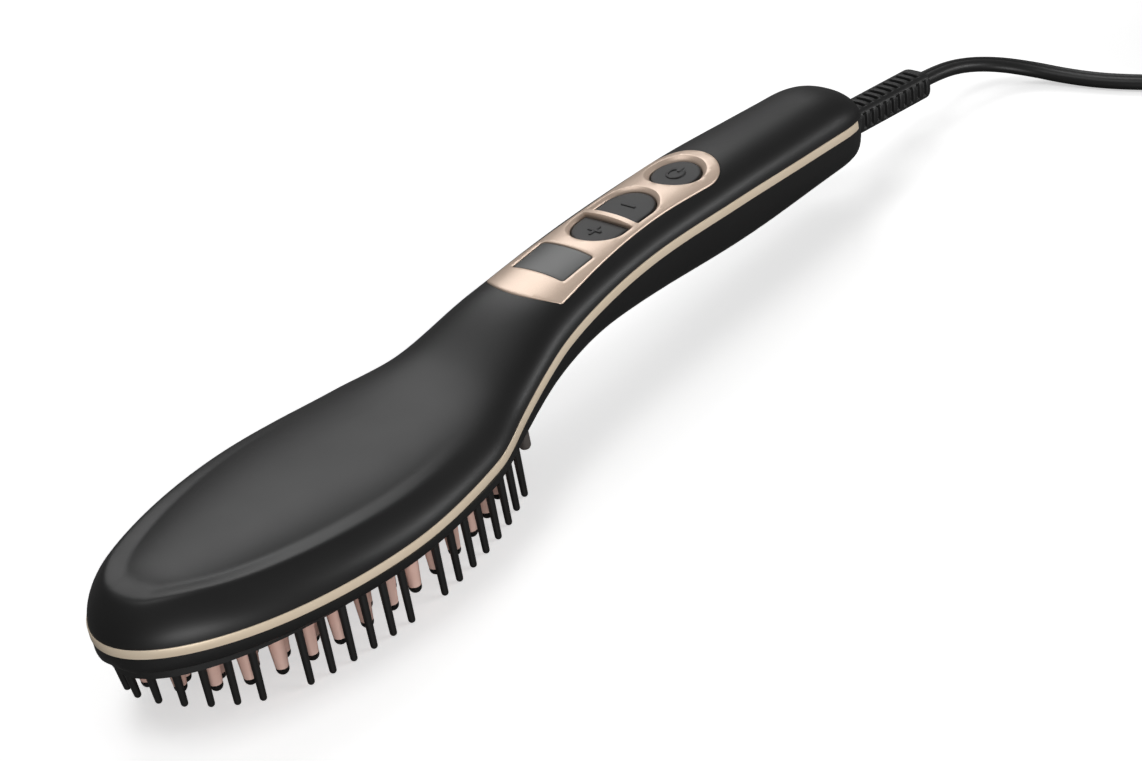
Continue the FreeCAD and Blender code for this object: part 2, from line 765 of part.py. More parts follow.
def make_top_cover():
    posts = [column(x, y, size("post_radius"), size("shield_top"), SKY)
             for x, y in POST_SPOTS]
    for x, y in HOUSING_SCREWS:
        posts.append(column(x, y, size("boss_radius"), screw_meeting(x), SKY))
    # the solid over the trim line, without the cavity round the posts
    holes = [cavity.cut(posts)]
    holes.append(in_tail_frame(lying_bore(size("bearing_radius"))))
    blank = outer_form.common(over_trim)
    for x, y in HOUSING_SCREWS:
        low = screw_meeting(x)
        holes.append(column(x, y, size("screw_radius"), low - 1, low + size("screw_bite")))
    cover = blank.cut(panel_prism(size("gap"))).cut(fused(holes))
    node_of_shape("top_cover", largest(cover))


def largest(shape):
    return max(shape.Solids, key=lambda solid: solid.Volume)


def lying_bore(radius):
    """A cylinder along the swivel's axis, through the tail's end wall."""
    return Part.makeCylinder(radius, 4 * WALL, Vector(-3 * WALL, 0, 0), Vector(1, 0, 0))


def make_lower_housing():
    lip = head_prism(size("lip_inset"), size("head_end_x"), -SKY, 0)
    well = head_prism(size("lip_inset") - 0.5, size("head_end_x") + 0.5,
                      size("lip_level"), 0)
    bosses = []
    holes = [in_tail_frame(lying_bore(size("bearing_radius")))]
    for x, y in HOUSING_SCREWS:
        bosses.append(column(x, y, size("boss_radius"), -SKY, screw_meeting(x)))
        holes.append(column(x, y, size("screw_radius") + size("gap"), -SKY, SKY))
        holes.append(column(x, y, size("screw_head_radius") + size("gap"),
                            -SKY, screw_seat(x)))
    for x, y in BOARD_SCREWS:
        low = size("board_top") - size("board_thickness")
        bosses.append(column(x, y, 2.4, -SKY, low))
        holes.append(column(x, y, size("small_screw_radius"),
                            low - size("small_screw_length"), low + 1))
    for side in (-1, 1):
        x = size("nozzle_x")
        y = side * size("nozzle_y")
        bosses.append(column(x, y, size("nozzle_radius") + 1.6, -SKY, size("nozzle_seat")))
        holes.append(column(x, y, size("nozzle_radius") + size("gap"), -SKY, SKY))
        holes.append(column(x, y, size("nozzle_radius") + 1.2 + size("gap"),
                            size("nozzle_seat"), SKY))
    for x in (size("ion_front_x") + 1, size("ion_front_x") + size("ion_length") - 3):
        bosses.append(Part.makeBox(2.0, 2 * size("ion_half_width"), SKY,
                                   Vector(x, -size("ion_half_width"), size("ion_level") - SKY)))
    bosses.append(Part.makeBox(CONTACT_LENGTH, 5.0, SKY,
                               Vector(CONTACT_X, -2.5, CONTACT_LEVEL - SKY)))
    # only the bosses stand up past the trim line
    past = over_trim.fuse(trim_slab.cut(behind_trim)).cut(bosses)
    hollow = cavity.cut(bosses)
    shell = outer_form.cut([past, hollow, lip, well] + holes)
    node_of_shape("lower_housing", largest(shell))


def make_trim_band():
    band = body_form(-PROUD).common(trim_slab).cut([cavity, behind_trim])
    node_of_shape("trim_band", largest(band))


def make_control_panel():
    ends = (size("panel_front_x") - 6, size("power_x") + size("panel_half_width") + 6)
    # the flange goes under the cover, the plate fills its opening
    under = handle_form(WALL, *ends)
    deep = handle_form(WALL + size("ledge"), *ends)
    middle = handle_form(-PROUD, *ends).common(panel_prism(0.0)).cut(deep)
    flange = under.common(panel_prism(1.5, size("panel_flange_level"))).cut(deep)
    window = display_hole(size("gap")).cut(under)
    holes = [window, display_hole(-1.0), key_recess(), power_recess()]
    node_of_shape("control_panel", largest(middle.fuse(flange).cut(holes)))


def make_display_window():
    ends = (size("display_x") - size("display_length"),
            size("display_x") + size("display_length"))
    lens = handle_form(0.0, *ends).common(display_hole(0.0)).cut(handle_form(WALL, *ends))
    node_of_shape("display_window", largest(lens))


# ---------------------------------------------------------------- head
def domed(profile):
    """A turned solid along Z whose lower end is a hemisphere."""
    r = profile[-1].x
    low = profile[-1].z
    bottom = Vector(0, 0, low - r)
    side = Vector(r * math.sqrt(0.5), 0, low - r * math.sqrt(0.5))
    edges = [Part.makeLine(p, q) for p, q in zip(profile, profile[1:])]
    edges.append(Part.Arc(profile[-1], side, bottom).toShape())
    edges.append(Part.makeLine(bottom, profile[0]))
    return Part.Face(Part.Wire(edges)).revolve(Vector(0, 0, 0), Vector(0, 0, 1), 360)


def bristle_spots():
    """Cool bristles: every pitch round the head, two places left free."""
    line = inset_line(size("bristle_inset"), size("head_end_x"))
    spots = [(line[0], 0)]
    free = (6, 13)
    count = int(line_length(line) / size("bristle_pitch"))
    for i in range(1, count + 1):
        spot = along(line, i * size("bristle_pitch"))
        if spot and i not in free and spot[0] < size("head_end_x") - 2.5:
            x, y, nx, ny = spot
            spots.append(((x, y, nx, ny), i))
            spots.append(((x, -y, nx, -ny), i))
    return spots


def bristle_lean(x):
    """The foremost bristles lean inwards, the rest stand straight."""
    return size("bristle_lean") * max(0.0, 1.0 - x / 30.0)


def tip_rise(x):
    """Rise of the tips towards the nose, on an arc."""
    return max(0.0, size("tip_arc_x") - x) ** 2 / (2 * size("tip_arc_radius"))


def make_bristles():
    root = size("bristle_root_radius")
    tip = size("bristle_tip_radius")
    start = size("comb_level")
    bristles = []
    for (x, y, nx, ny), _ in bristle_spots():
        end = tip_rise(x) - size("bristle_level")
        lean = math.radians(bristle_lean(x))
        reach = (start - end - tip) / math.cos(lean)
        bristle = domed([
            Vector(0, 0, size("bristle_socket")),
            Vector(root, 0, size("bristle_socket")),
            Vector(root, 0, 0),
            Vector(tip, 0, -reach),
        ])
        axis = Vector(0, 0, 1).cross(Vector(nx, ny, 0))
        bristle.rotate(Vector(0, 0, 0), axis, -math.degrees(lean))
        bristle.translate(Vector(x, y, start))
        bristles.append(bristle)
    node_of_shape("outer_bristles", Part.makeCompound(bristles))
    return bristles


def make_comb_ring(bristles):
    rear = size("head_end_x")
    inset = size("lip_inset")
    low = head_prism(inset + 0.1, rear - 0.1, size("comb_level"), size("lip_level"))
    flange = head_prism(inset - 0.4, rear + 0.4, size("lip_level"), size("flange_level"))
    window = head_prism(size("comb_inner_inset"), rear - size("comb_bar"),
                        size("comb_level") - 1, size("flange_level") + 1)
    ring = low.fuse(flange).cut(window).cut(bristles)
    node_of_shape("comb_ring", ring.removeSplitter())


def pin_spots():
    """Heated pins on lines that follow the outline, each line half a step on."""
    spots = []
    inset = size("pin_inset")
    step = 0
    rear = size("head_end_x") - size("comb_bar") - 3.5
    while inset < size("head_half_width") - 3.5:
        line = inset_line(inset, rear)
        total = line_length(line)
        count = max(1, int(round(total / size("pin_pitch"))))
        pitch = total / (count + 0.25)
        shift = 0.5 * (step % 2)
        for i in range(count + 1):
            spot = along(line, (i + shift) * pitch)
            if spot is None or (i == 0 and step % 2):
                if spot is None:
                    continue
            x, y = spot[:2]
            if y < size("pin_pitch") / 3:
                spots.append((x, 0.0))
            else:
                spots += [(x, y), (x, -y)]
        inset += size("pin_row")
        step += 1
    middle = size("head_wide_x")
    spots += [(middle + i * size("pin_pitch"), 0.0) for i in range(-5, 6)]
    kept = []
    nearest = 2 * size("pin_root_radius") + 1.0
    for x, y in spots:
        if all(math.hypot(x - a, y - b) > nearest for a, b in kept):
            kept.append((x, y))
    return kept


def make_pins():
    spots = pin_spots()
    top = size("plate_level")
    pins = []
    caps = []
    r = size("pin_end_radius")
    for x, y in spots:
        end = size("pin_end_level") + tip_rise(x)
        pins.append(Part.makeCone(size("pin_root_radius"), r, top - end,
                                  Vector(x, y, top), Vector(0, 0, -1)))
        cap = domed([Vector(0, 0, end), Vector(r, 0, end),
                     Vector(r, 0, size("cap_level") + tip_rise(x) + r)])
        cap.translate(Vector(x, y, 0))
        caps.append(cap)
    node_of_shape("heated_pins", Part.makeCompound(pins))
    node_of_shape("pin_caps", Part.makeCompound(caps))
    return len(spots)


CLAMP_SCREWS = [
    (size("heater_x") - 9.0, 0.0),
    (size("heater_x") + size("heater_length") + 9.0, 0.0),
    (size("plate_screw_x"), size("plate_screw_y")),
    (size("plate_screw_x"), -size("plate_screw_y")),
]
CLAMP_SEAT = size("plate_top") + size("heater_thickness") + size("mica_thickness")


def make_heat_plate():
    rear = size("head_end_x") - size("comb_bar")
    inset = size("comb_inner_inset") + size("gap")
    low = head_prism(inset, rear - size("gap"), size("plate_level"), size("plate_top"))
    flange = head_prism(inset - 1.6, rear + 1.6, size("flange_level"), size("plate_top"))
    bosses = [column(x, y, 3.2, size("flange_level"), CLAMP_SEAT) for x, y in CLAMP_SCREWS]
    holes = [column(x, y, size("small_screw_radius"),
                    CLAMP_SEAT - size("small_screw_length"), SKY) for x, y in CLAMP_SCREWS]
    plate = low.fuse(flange).multiFuse(bosses).cut(holes)
    node_of_shape("heat_plate", plate.removeSplitter())


def make_heater_stack():
    heaters = []
    for side, name in ((-1, "heater_a"), (1, "heater_b")):
        middle = "%d * sizes.heater_middle_y - sizes.heater_width / 2" % side
        heaters.append(box(name, "sizes.heater_x", middle, "sizes.plate_top",
                           "sizes.heater_length", "sizes.heater_width",
                           "sizes.heater_thickness"))
    group("heater_elements", heaters)
    half = "(sizes.heater_middle_y + sizes.heater_width / 2 + 0.8)"
    mica_level = "sizes.plate_top + sizes.heater_thickness"
    mica = box("mica_sheet", "sizes.heater_x - sizes.clamp_edge", "-" + half, mica_level,
               "sizes.heater_length + 2 * sizes.clamp_edge", "2 * " + half,
               "sizes.mica_thickness")
    group("insulation_sheet", [mica])
    top = mica_level + " + sizes.mica_thickness"
    plate = box("clamp_plate", "sizes.heater_x - sizes.clamp_edge", "-" + half, top,
                "sizes.heater_length + 2 * sizes.clamp_edge", "2 * " + half,
                "sizes.clamp_thickness")
    tongues = box("clamp_tongues", "sizes.heater_x - 12.4", -3.4, top,
                  "sizes.heater_length + 24.8", 6.8, "sizes.clamp_thickness")
    arms = box("clamp_arms", "sizes.plate_screw_x - 3.4", "-sizes.plate_screw_y - 3.4", top,
               6.8, "2 * sizes.plate_screw_y + 6.8", "sizes.clamp_thickness")
    holes = [cylinder("clamp_hole_%d" % i, x, y, top + " - 1",
                      "sizes.small_screw_radius + sizes.gap", 5.0)
             for i, (x, y) in enumerate(clamp_screw_expressions())]
    node(cut("heater_clamp", fuse("clamp_blank", [plate, tongues, arms]), holes), "heater_clamp")
    screws = []
    for x, y in CLAMP_SCREWS:
        made = screw(size("small_head_radius"), size("small_head_height"),
                     size("small_screw_radius"), size("small_screw_length") - 0.5)
        made.rotate(Vector(0, 0, 0), Vector(1, 0, 0), 180)
        made.translate(Vector(x, y, CLAMP_SEAT + size("clamp_thickness")))
        screws.append(made)
    node_of_shape("clamp_screws", Part.makeCompound(screws))


def clamp_screw_expressions():
    front = "sizes.heater_x - 9"
    rear = "sizes.heater_x + sizes.heater_length + 9"
    side = "sizes.plate_screw_x"
    return [(front, 0.0), (rear, 0.0), (side, "sizes.plate_screw_y"),
            (side, "-sizes.plate_screw_y")]


def make_heat_sensors():
    top = "sizes.plate_top + sizes.heater_thickness + sizes.mica_thickness + sizes.clamp_thickness"
    fuse_body = lying_cylinder("fuse_body", "sizes.heater_x + 22", 8.0, top + " + 1.3", 1.3, 11.0)
    group("thermal_fuse", [fuse_body])
    bead = lying_cylinder("sensor_bead", "sizes.heater_x + 52", -8.0, top + " + 1.1", 1.1, 6.0)
    group("temperature_sensor", [bead])


def make_heat_shield():
    inset = size("shield_inset")
    wall = size("shield_wall")
    rear = size("shield_end_x")
    block = head_prism(inset, rear, size("plate_top"), size("shield_top"))
    hollow = head_prism(inset + wall, rear - wall, size("plate_top") - 1,
                        size("shield_top") - wall)
    notch = Part.makeBox(4 * wall, 14, 3.6, Vector(rear - 2 * wall, -7, 1.0))
    node_of_shape("heat_shield", block.cut([hollow, notch]))


# ---------------------------------------------------------------- keys
def key_body(label):
    made = doc.addObject("PartDesign::Body", label)
    return node(made, label)


def half_stadium(made, front, rear, half_w, round_front):
    """Key outline: a half circle at one end, square at the other.

    The round end's centre is half_w from that end; all values are expressions.
    """
    r = number(half_w)
    if round_front:
        centre = "%s + %s" % (front, half_w)
        square = rear
        start = math.pi / 2
    else:
        centre = "%s - (%s)" % (rear, half_w)
        square = front
        start = -math.pi / 2
    middle = Vector(number(centre), 0, 0)
    first = Vector(middle.x, -r if round_front else r, 0)
    second = Vector(number(square), first.y, 0)
    third = Vector(second.x, -first.y, 0)
    fourth = Vector(middle.x, -first.y, 0)
    arc = Part.ArcOfCircle(Part.Circle(middle, Vector(0, 0, 1), r), start, start + math.pi)
    a = made.addGeometry(arc)
    b = made.addGeometry(Part.LineSegment(first, second))
    c = made.addGeometry(Part.LineSegment(second, third))
    d = made.addGeometry(Part.LineSegment(third, fourth))
    for one, other in ((a, b), (b, c), (c, d), (d, a)):
        made.addConstraint(Sketcher.Constraint("Coincident", one, 2, other, 1))
    made.addConstraint(Sketcher.Constraint("Horizontal", b))
    made.addConstraint(Sketcher.Constraint("Vertical", c))
    made.addConstraint(Sketcher.Constraint("Horizontal", d))
    made.addConstraint(Sketcher.Constraint("Vertical", a, 1, a, 3))
    held = made.addConstraint(Sketcher.Constraint("Radius", a, r))
    made.renameConstraint(held, "round_end")
    made.setExpression("Constraints.round_end", half_w)
    hold(made, "DistanceX", a, 3, centre)
    hold(made, "DistanceY", a, 3, "0")
    hold(made, "DistanceX", c, 1, square)


def make_rocker_key(label, front, rear, round_front, strokes):
    """A plus or minus key: flange, body and the symbol on top."""
    body = key_body(label)
    bridge_gap = "sizes.bridge_width / 2 + sizes.key_gap"
    half_w = "sizes.keys_half_width - sizes.key_gap"
    flange_w = "sizes.keys_half_width - sizes.key_gap + sizes.key_flange"
    if round_front:
        ends = ("sizes.keys_front_x + sizes.key_gap", "sizes.bridge_x - (%s)" % bridge_gap)
        outer = ("sizes.keys_front_x + sizes.key_gap - sizes.key_flange", ends[1])
    else:
        ends = ("sizes.bridge_x + %s" % bridge_gap, "sizes.keys_rear_x - sizes.key_gap")
        outer = (ends[0], "sizes.keys_rear_x - sizes.key_gap + sizes.key_flange")
    flange = sketch(body, label + "_flange", offset="sizes.key_bottom")
    half_stadium(flange, outer[0], outer[1], flange_w, round_front)
    pad(body, flange, label + "_flange_pad", "sizes.key_flange_top - sizes.key_bottom")
    top = sketch(body, label + "_top", offset="sizes.key_bottom")
    half_stadium(top, ends[0], ends[1], half_w, round_front)
    block = pad(body, top, label + "_pad", "sizes.key_top - sizes.key_bottom")
    doc.recompute()
    high = size("key_top")
    rim = ["Edge%d" % (i + 1) for i, e in enumerate(block.Shape.Edges)
           if e.BoundBox.ZMin > high - 0.01]
    rounding = body.newObject("PartDesign::Fillet", label + "_rounding")
    rounding.Base = (block, rim)
    rounding.setExpression("Radius", "sizes.key_round")
    body.Tip = rounding
    middle = "(%s + %s) / 2" % ends
    for i, across in enumerate(strokes):
        stroke = sketch(body, "%s_stroke_%d" % (label, i), offset="sizes.key_top")
        long, wide = "sizes.symbol_length / 2", "sizes.symbol_width / 2"
        if across:
            rectangle(stroke, "%s - %s" % (middle, wide), "-" + long,
                      "%s + %s" % (middle, wide), long)
        else:
            rectangle(stroke, "%s - %s" % (middle, long), "-" + wide,
                      "%s + %s" % (middle, long), wide)
        pad(body, stroke, "%s_stroke_pad_%d" % (label, i), "sizes.symbol_height")
    return body


def make_power_button():
    body = key_body("power_button")
    flange = sketch(body, "power_flange", offset="sizes.key_bottom")
    circle(flange, "sizes.power_x", "0", "sizes.power_radius + sizes.key_flange")
    pad(body, flange, "power_flange_pad", "sizes.key_flange_top - 0.6 - sizes.key_bottom")
    top = sketch(body, "power_top", offset="sizes.key_bottom")
    circle(top, "sizes.power_x", "0", "sizes.power_radius")
    block = pad(body, top, "power_pad", "sizes.key_top - 0.9 - sizes.key_bottom")
    doc.recompute()
    high = size("key_top") - 0.9
    rim = ["Edge%d" % (i + 1) for i, e in enumerate(block.Shape.Edges)
           if e.BoundBox.ZMin > high - 0.01]
    rounding = body.newObject("PartDesign::Fillet", "power_rounding")
    rounding.Base = (block, rim)
    rounding.setExpression("Radius", "sizes.key_round")
    ring = sketch(body, "power_ring", offset="sizes.key_top - 0.9")
    circle(ring, "sizes.power_x", "0", "sizes.symbol_length / 2 + 0.4")
    circle(ring, "sizes.power_x", "0", "sizes.symbol_length / 2 + 0.4 - sizes.symbol_width * 0.7")
    pad(body, ring, "power_ring_pad", "sizes.symbol_height")


# ---------------------------------------------------------------- electronics
def key_middles():
    """(name, x) of the three keys."""
    gap = size("key_gap")
    half_bridge = size("bridge_width") / 2 + gap
    plus = (size("keys_front_x") + gap + size("bridge_x") - half_bridge) / 2
    minus = (size("bridge_x") + half_bridge + size("keys_rear_x") - gap) / 2
    return [("plus", plus), ("minus", minus), ("power", size("power_x"))]


def make_control_board():
    board = box("board_blank", "sizes.board_front_x", "-sizes.board_half_width",
                "sizes.board_top - sizes.board_thickness",
                "sizes.board_rear_x - sizes.board_front_x",
                "2 * sizes.board_half_width", "sizes.board_thickness")
    holes = []
    for i, (x, y) in enumerate((x, y) for x in ("sizes.board_screw_front_x",
                                                "sizes.board_screw_rear_x")
                               for y in ("-sizes.board_screw_y", "sizes.board_screw_y")):
        holes.append(cylinder("board_hole_%d" % i, x, y, "sizes.board_top - 4",
                              "sizes.small_screw_radius + sizes.gap", 8.0))
    node(cut("control_board", board, holes), "control_board")
    screws = []
    for x, y in BOARD_SCREWS:
        made = screw(size("small_head_radius"), size("small_head_height"),
                     size("small_screw_radius"), size("small_screw_length") - 0.5)
        made.rotate(Vector(0, 0, 0), Vector(1, 0, 0), 180)
        made.translate(Vector(x, y, size("board_top")))
        screws.append(made)
    node_of_shape("board_screws", Part.makeCompound(screws))


def make_switches():
    """Tact switches under the keys: fixed housings, stems that move."""
    side = size("switch_side")
    top = size("board_top") + size("switch_height")
    housings = []
    for name, x in key_middles():
        housing = Part.makeBox(side, side, size("switch_height"),
                               Vector(x - side / 2, -side / 2, size("board_top")))
        bore = column(x, 0, size("stem_radius") + size("stem_gap"),
                      top - size("stem_depth") - 1.0, top + 1)
        housings.append(housing.cut(bore))
        stem = doc.addObject("Part::Cylinder", name + "_stem_body")
        stem.setExpression("Radius", "sizes.stem_radius")
        stem.setExpression("Height", "sizes.key_bottom - sizes.board_top"
                                     " - sizes.switch_height + sizes.stem_depth")
        stem.Placement.Base = Vector(x, 0, top - size("stem_depth"))
        group(name + "_stem", [stem])
    node_of_shape("switch_housings", Part.makeCompound(housings))


def make_display_module():
    face = "sizes.display_x - sizes.display_length / 2 + 0.6"
    block = box("display_block", face, "-sizes.display_width / 2 + 0.8", "sizes.board_top",
                "sizes.display_length - 1.2", "sizes.display_width - 1.6",
                "sizes.display_height")
    group("display_module", [block])


def make_components():
    """Power parts hanging under the board."""
    under = "sizes.board_top - sizes.board_thickness"
    front = "sizes.board_front_x + "
    film = box("film_block", front + "22", -7.6, under + " - 8.6", 13.0, 6.0, 8.6)
    group("film_capacitor", [film])
    can = cylinder("can_block", front + "29", 4.6, under + " - 8", 4.0, 8.0)
    group("filter_capacitor", [can])
    block = box("triac_block", front + "40", -6.0, under + " - 9", 4.4, 10.0, 9.0)
    group("triac", [block])
    sink = box("sink_block", front + "44.4", -9.0, under + " - 9.5", 1.5, 17.0, 9.5)
    group("heat_sink", [sink])
    core = box("core_block", front + "51", -7.5, under + " - 10.5", 15.0, 15.0, 10.5)
    group("transformer", [core])
    tube = lying_cylinder("line_fuse_tube", front + "68", 4.5, under + " - 2.6", 2.6, 9.0)
    group("line_fuse", [tube])
    ends = box("terminal_block", "sizes.board_rear_x - 7", -5.5, under + " - 6", 7.0, 11.0, 6.0)
    group("mains_terminal", [ends])
    plug = box("heater_block", "sizes.board_front_x + 0.6", -5.0, "sizes.board_top", 6.0, 10.0, 3.6)
    group("heater_connector", [plug])


def make_ion_parts():
    module = box("ion_block", "sizes.ion_front_x", "-sizes.ion_half_width", "sizes.ion_level",
                 "sizes.ion_length", "2 * sizes.ion_half_width", "sizes.ion_height")
    group("ion_module", [module])
    seat = size("nozzle_seat")
    low = size("nozzle_level")
    r = size("nozzle_radius")
    bore = size("nozzle_bore_radius")
    nozzles = []
    needles = []
    leads = []
    for side in (-1, 1):
        x = size("nozzle_x")
        y = side * size("nozzle_y")
        profile = [
            Vector(bore, 0, seat + 1.0),
            Vector(r + 1.2, 0, seat + 1.0),
            Vector(r + 1.2, 0, seat),
            Vector(r, 0, seat),
            Vector(r, 0, low + 0.7),
            Vector(r - 0.35, 0, low),
            Vector(bore, 0, low),
        ]
        tube = revolve(profile)
        web = Part.makeCylinder(bore, 1.0, Vector(0, 0, seat))
        needle = Part.makeCylinder(0.4, seat + 1.5 - low - 3.0, Vector(0, 0, low + 3.0))
        tube = tube.fuse(web.cut(needle)).removeSplitter()
        for shape, kept in ((tube, nozzles), (needle, needles)):
            shape.translate(Vector(x, y, 0))
            kept.append(shape)
        front = size("ion_front_x")
        leads.append(tube_along([
            Vector(front, side * 5.0, 2.0),
            Vector(front - 1.8, side * 5.0, 2.0),
            Vector(front - 2.8, side * 6.7, 2.0),
            Vector(x, side * (size("nozzle_y") - 1.5), 1.0),
            Vector(x, y, -0.6),
            Vector(x, y, seat + 1.5),
        ], 0.5)[0])
    node_of_shape("ion_nozzles", Part.makeCompound(nozzles))
    node_of_shape("ion_needles", Part.makeCompound(needles))
    node_of_shape("ion_leads", Part.makeCompound(leads))


def make_wiring():
    leads = []
    heaters_end = size("heater_x") + size("heater_length")
    for side in (-1, 1):
        leads.append(tube_along([
            Vector(heaters_end - 4, side * 4.0, CLAMP_SEAT + size("clamp_thickness") + 0.9),
            Vector(heaters_end + 12, side * 4.0, CLAMP_SEAT + size("clamp_thickness") + 0.9),
            Vector(128, side * 4.0, 3.1),
            Vector(140, side * 3.5, 8.0),
            Vector(150, side * 3.0, 10.0),
            Vector(size("board_front_x") + 0.6, side * 3.0, 10.0),
        ], 0.9)[0])
    node_of_shape("heater_leads", Part.makeCompound(leads))
    leads = []
    under = size("board_top") - size("board_thickness")
    for side in (-1, 1):
        leads.append(tube_along([
            Vector(CONTACT_X, side * 3.2, CONTACT_LEVEL + 0.9),
            Vector(CONTACT_X - 3.5, side * 3.2, CONTACT_LEVEL + 0.9),
            Vector(size("screw_rear_x") - 0.5, side * 5.0, CONTACT_LEVEL + 1.3),
            Vector(size("screw_rear_x") - 6, side * 5.0, -3.5),
            Vector(size("board_rear_x") + 5, side * 3.5, under - 3.0),
            Vector(size("board_rear_x"), side * 3.5, under - 3.0),
        ], 0.8)[0])
    node_of_shape("supply_leads", Part.makeCompound(leads))


# ---------------------------------------------------------------- swivel
CONTACT_X = LENGTH - 18.5
CONTACT_LENGTH = 9.0
CONTACT_LEVEL = size("swivel_level") - 5.2
RING_PLACES = (-10.0, -15.0)


def tail_body(label):
    """A body in the swivel's frame, its X axis along the swivel's axis."""
    made = doc.addObject("PartDesign::Body", label)
    made.Label = label
    made.Placement.Rotation = Rotation(Vector(0, 1, 0), size("swivel_tilt"))
    made.setExpression("Placement.Base.x", "sizes.body_length - " + MIDDLE)
    made.setExpression("Placement.Base.z", "sizes.bristle_level + sizes.swivel_level")
    nodes.append(made)
    return made


def revolved_body(label, rings):
    """Rings of (start, end, outer, inner) expressions along the body's X axis."""
    body = tail_body(label)
    for i, (start, end, outer, inner) in enumerate(rings):
        profile = sketch(body, "%s_profile_%d" % (label, i), role="XZ_Plane")
        rectangle(profile, start, inner, end, outer)
        turned = body.newObject("PartDesign::Revolution", "%s_turn_%d" % (label, i))
        turned.Profile = profile
        turned.ReferenceAxis = (profile, ["H_Axis"])
        turned.Angle = 360.0
        body.Tip = turned
    return body


def make_swivel():
    wall = "sizes.wall"
    bore = "sizes.shaft_radius + sizes.shaft_gap"
    revolved_body("swivel_bearing", [
        ("-" + wall, "0", "sizes.bearing_radius", bore),
        ("-%s - 1.6" % wall, "-" + wall, "sizes.bearing_flange_radius", bore),
    ])
    hollow = "sizes.wire_bore_radius"
    groove = "sizes.shaft_radius - 0.9"
    ring_at = "-sizes.wall - 1.6 - sizes.collar_gap"
    revolved_body("swivel_collar", [
        ("sizes.collar_gap", "sizes.collar_length", "sizes.collar_radius", hollow),
        (ring_at, "sizes.collar_gap", "sizes.shaft_radius", hollow),
        (ring_at + " - 0.8", ring_at, groove, hollow),
        (ring_at + " - 1.8", ring_at + " - 0.8", "sizes.shaft_radius", hollow),
        ("-sizes.carrier_length", ring_at + " - 1.8", "sizes.carrier_radius", hollow),
    ])
    revolved_body("retaining_ring", [
        (ring_at + " - 0.8", ring_at, "sizes.shaft_radius + 1.8", groove),
    ])
    rings = []
    for place in RING_PLACES:
        ring = Part.makeCylinder(size("ring_radius"), size("ring_width"),
                                 Vector(place - size("ring_width") / 2, 0, 0), Vector(1, 0, 0))
        hole = Part.makeCylinder(size("carrier_radius"), 9,
                                 Vector(place - 4, 0, 0), Vector(1, 0, 0))
        rings.append(in_tail_frame(ring.cut(hole)))
    node_of_shape("contact_rings", Part.makeCompound(rings))
    block = box("contact_base", CONTACT_X, -4.4, CONTACT_LEVEL, CONTACT_LENGTH, 8.8, 1.6)
    group("contact_block", [block])
    springs = []
    for place in RING_PLACES:
        x = LENGTH + place * math.cos(TILT)
        bottom = size("swivel_level") - place * math.sin(TILT) - size("ring_radius")
        low = CONTACT_LEVEL + 1.6
        springs.append(Part.makeBox(1.0, 3.0, bottom - 0.15 - low,
                                    Vector(x - 0.5 - size("ring_radius") * math.sin(TILT),
                                           -1.5, low)))
    node_of_shape("contact_springs", Part.makeCompound(springs))


def make_boot():
    body = tail_body("cord_boot")
    start = "sizes.collar_length"
    profile = sketch(body, "boot_section", role="YZ_Plane", offset=start)
    rectangle(profile, "-sizes.boot_width / 2", "-sizes.boot_height / 2",
              "sizes.boot_width / 2", "sizes.boot_height / 2")
    block = pad(body, profile, "boot_pad", "sizes.boot_length")
    doc.recompute()
    long_edges = ["Edge%d" % (i + 1) for i, e in enumerate(block.Shape.Edges)
                  if abs(e.tangentAt(e.FirstParameter).x) > 0.99]
    rounding = body.newObject("PartDesign::Fillet", "boot_rounding")
    rounding.Base = (block, long_edges)
    rounding.setExpression("Radius", "sizes.boot_round")
    body.Tip = rounding
    slot_at = start + " + sizes.boot_slot_start"
    half_w = "(sizes.boot_width / 2 - sizes.boot_round + 0.9)"
    half_h = "(sizes.boot_height / 2 - sizes.boot_round + 0.9)"
    tall = "sizes.boot_height / 2"
    wide = "sizes.boot_width / 2"
    depth = "sizes.boot_slot_depth"
    faces = [
        ("top", "XY_Plane", "-" + half_w, half_w, tall + " - " + depth),
        ("bottom", "XY_Plane", "-" + half_w, half_w, "-" + tall),
        ("left", "XZ_Plane", "-" + half_h, half_h, wide + " - " + depth),
        ("right", "XZ_Plane", "-" + half_h, half_h, "-" + wide),
    ]
    for name, role, low, high, level in faces:
        slot = sketch(body, "boot_slot_" + name, role=role, offset=level)
        shift = " + 0.4 * sizes.boot_slot_pitch" if name in ("left", "right") else ""
        near = slot_at + shift
        rectangle(slot, near, low, near + " + sizes.boot_slot_width", high)
        pocket = body.newObject("PartDesign::Pocket", "boot_pocket_" + name)
        pocket.Profile = slot
        bind(pocket, "Length", depth)
        pocket.Reversed = True
        pattern = body.newObject("PartDesign::LinearPattern", "boot_row_" + name)
        pattern.Originals = [pocket]
        pattern.Direction = (slot, ["H_Axis"])
        pattern.setExpression("Length", "(sizes.boot_slots - 1) * sizes.boot_slot_pitch")
        pattern.setExpression("Occurrences", "sizes.boot_slots")
        body.Tip = pattern


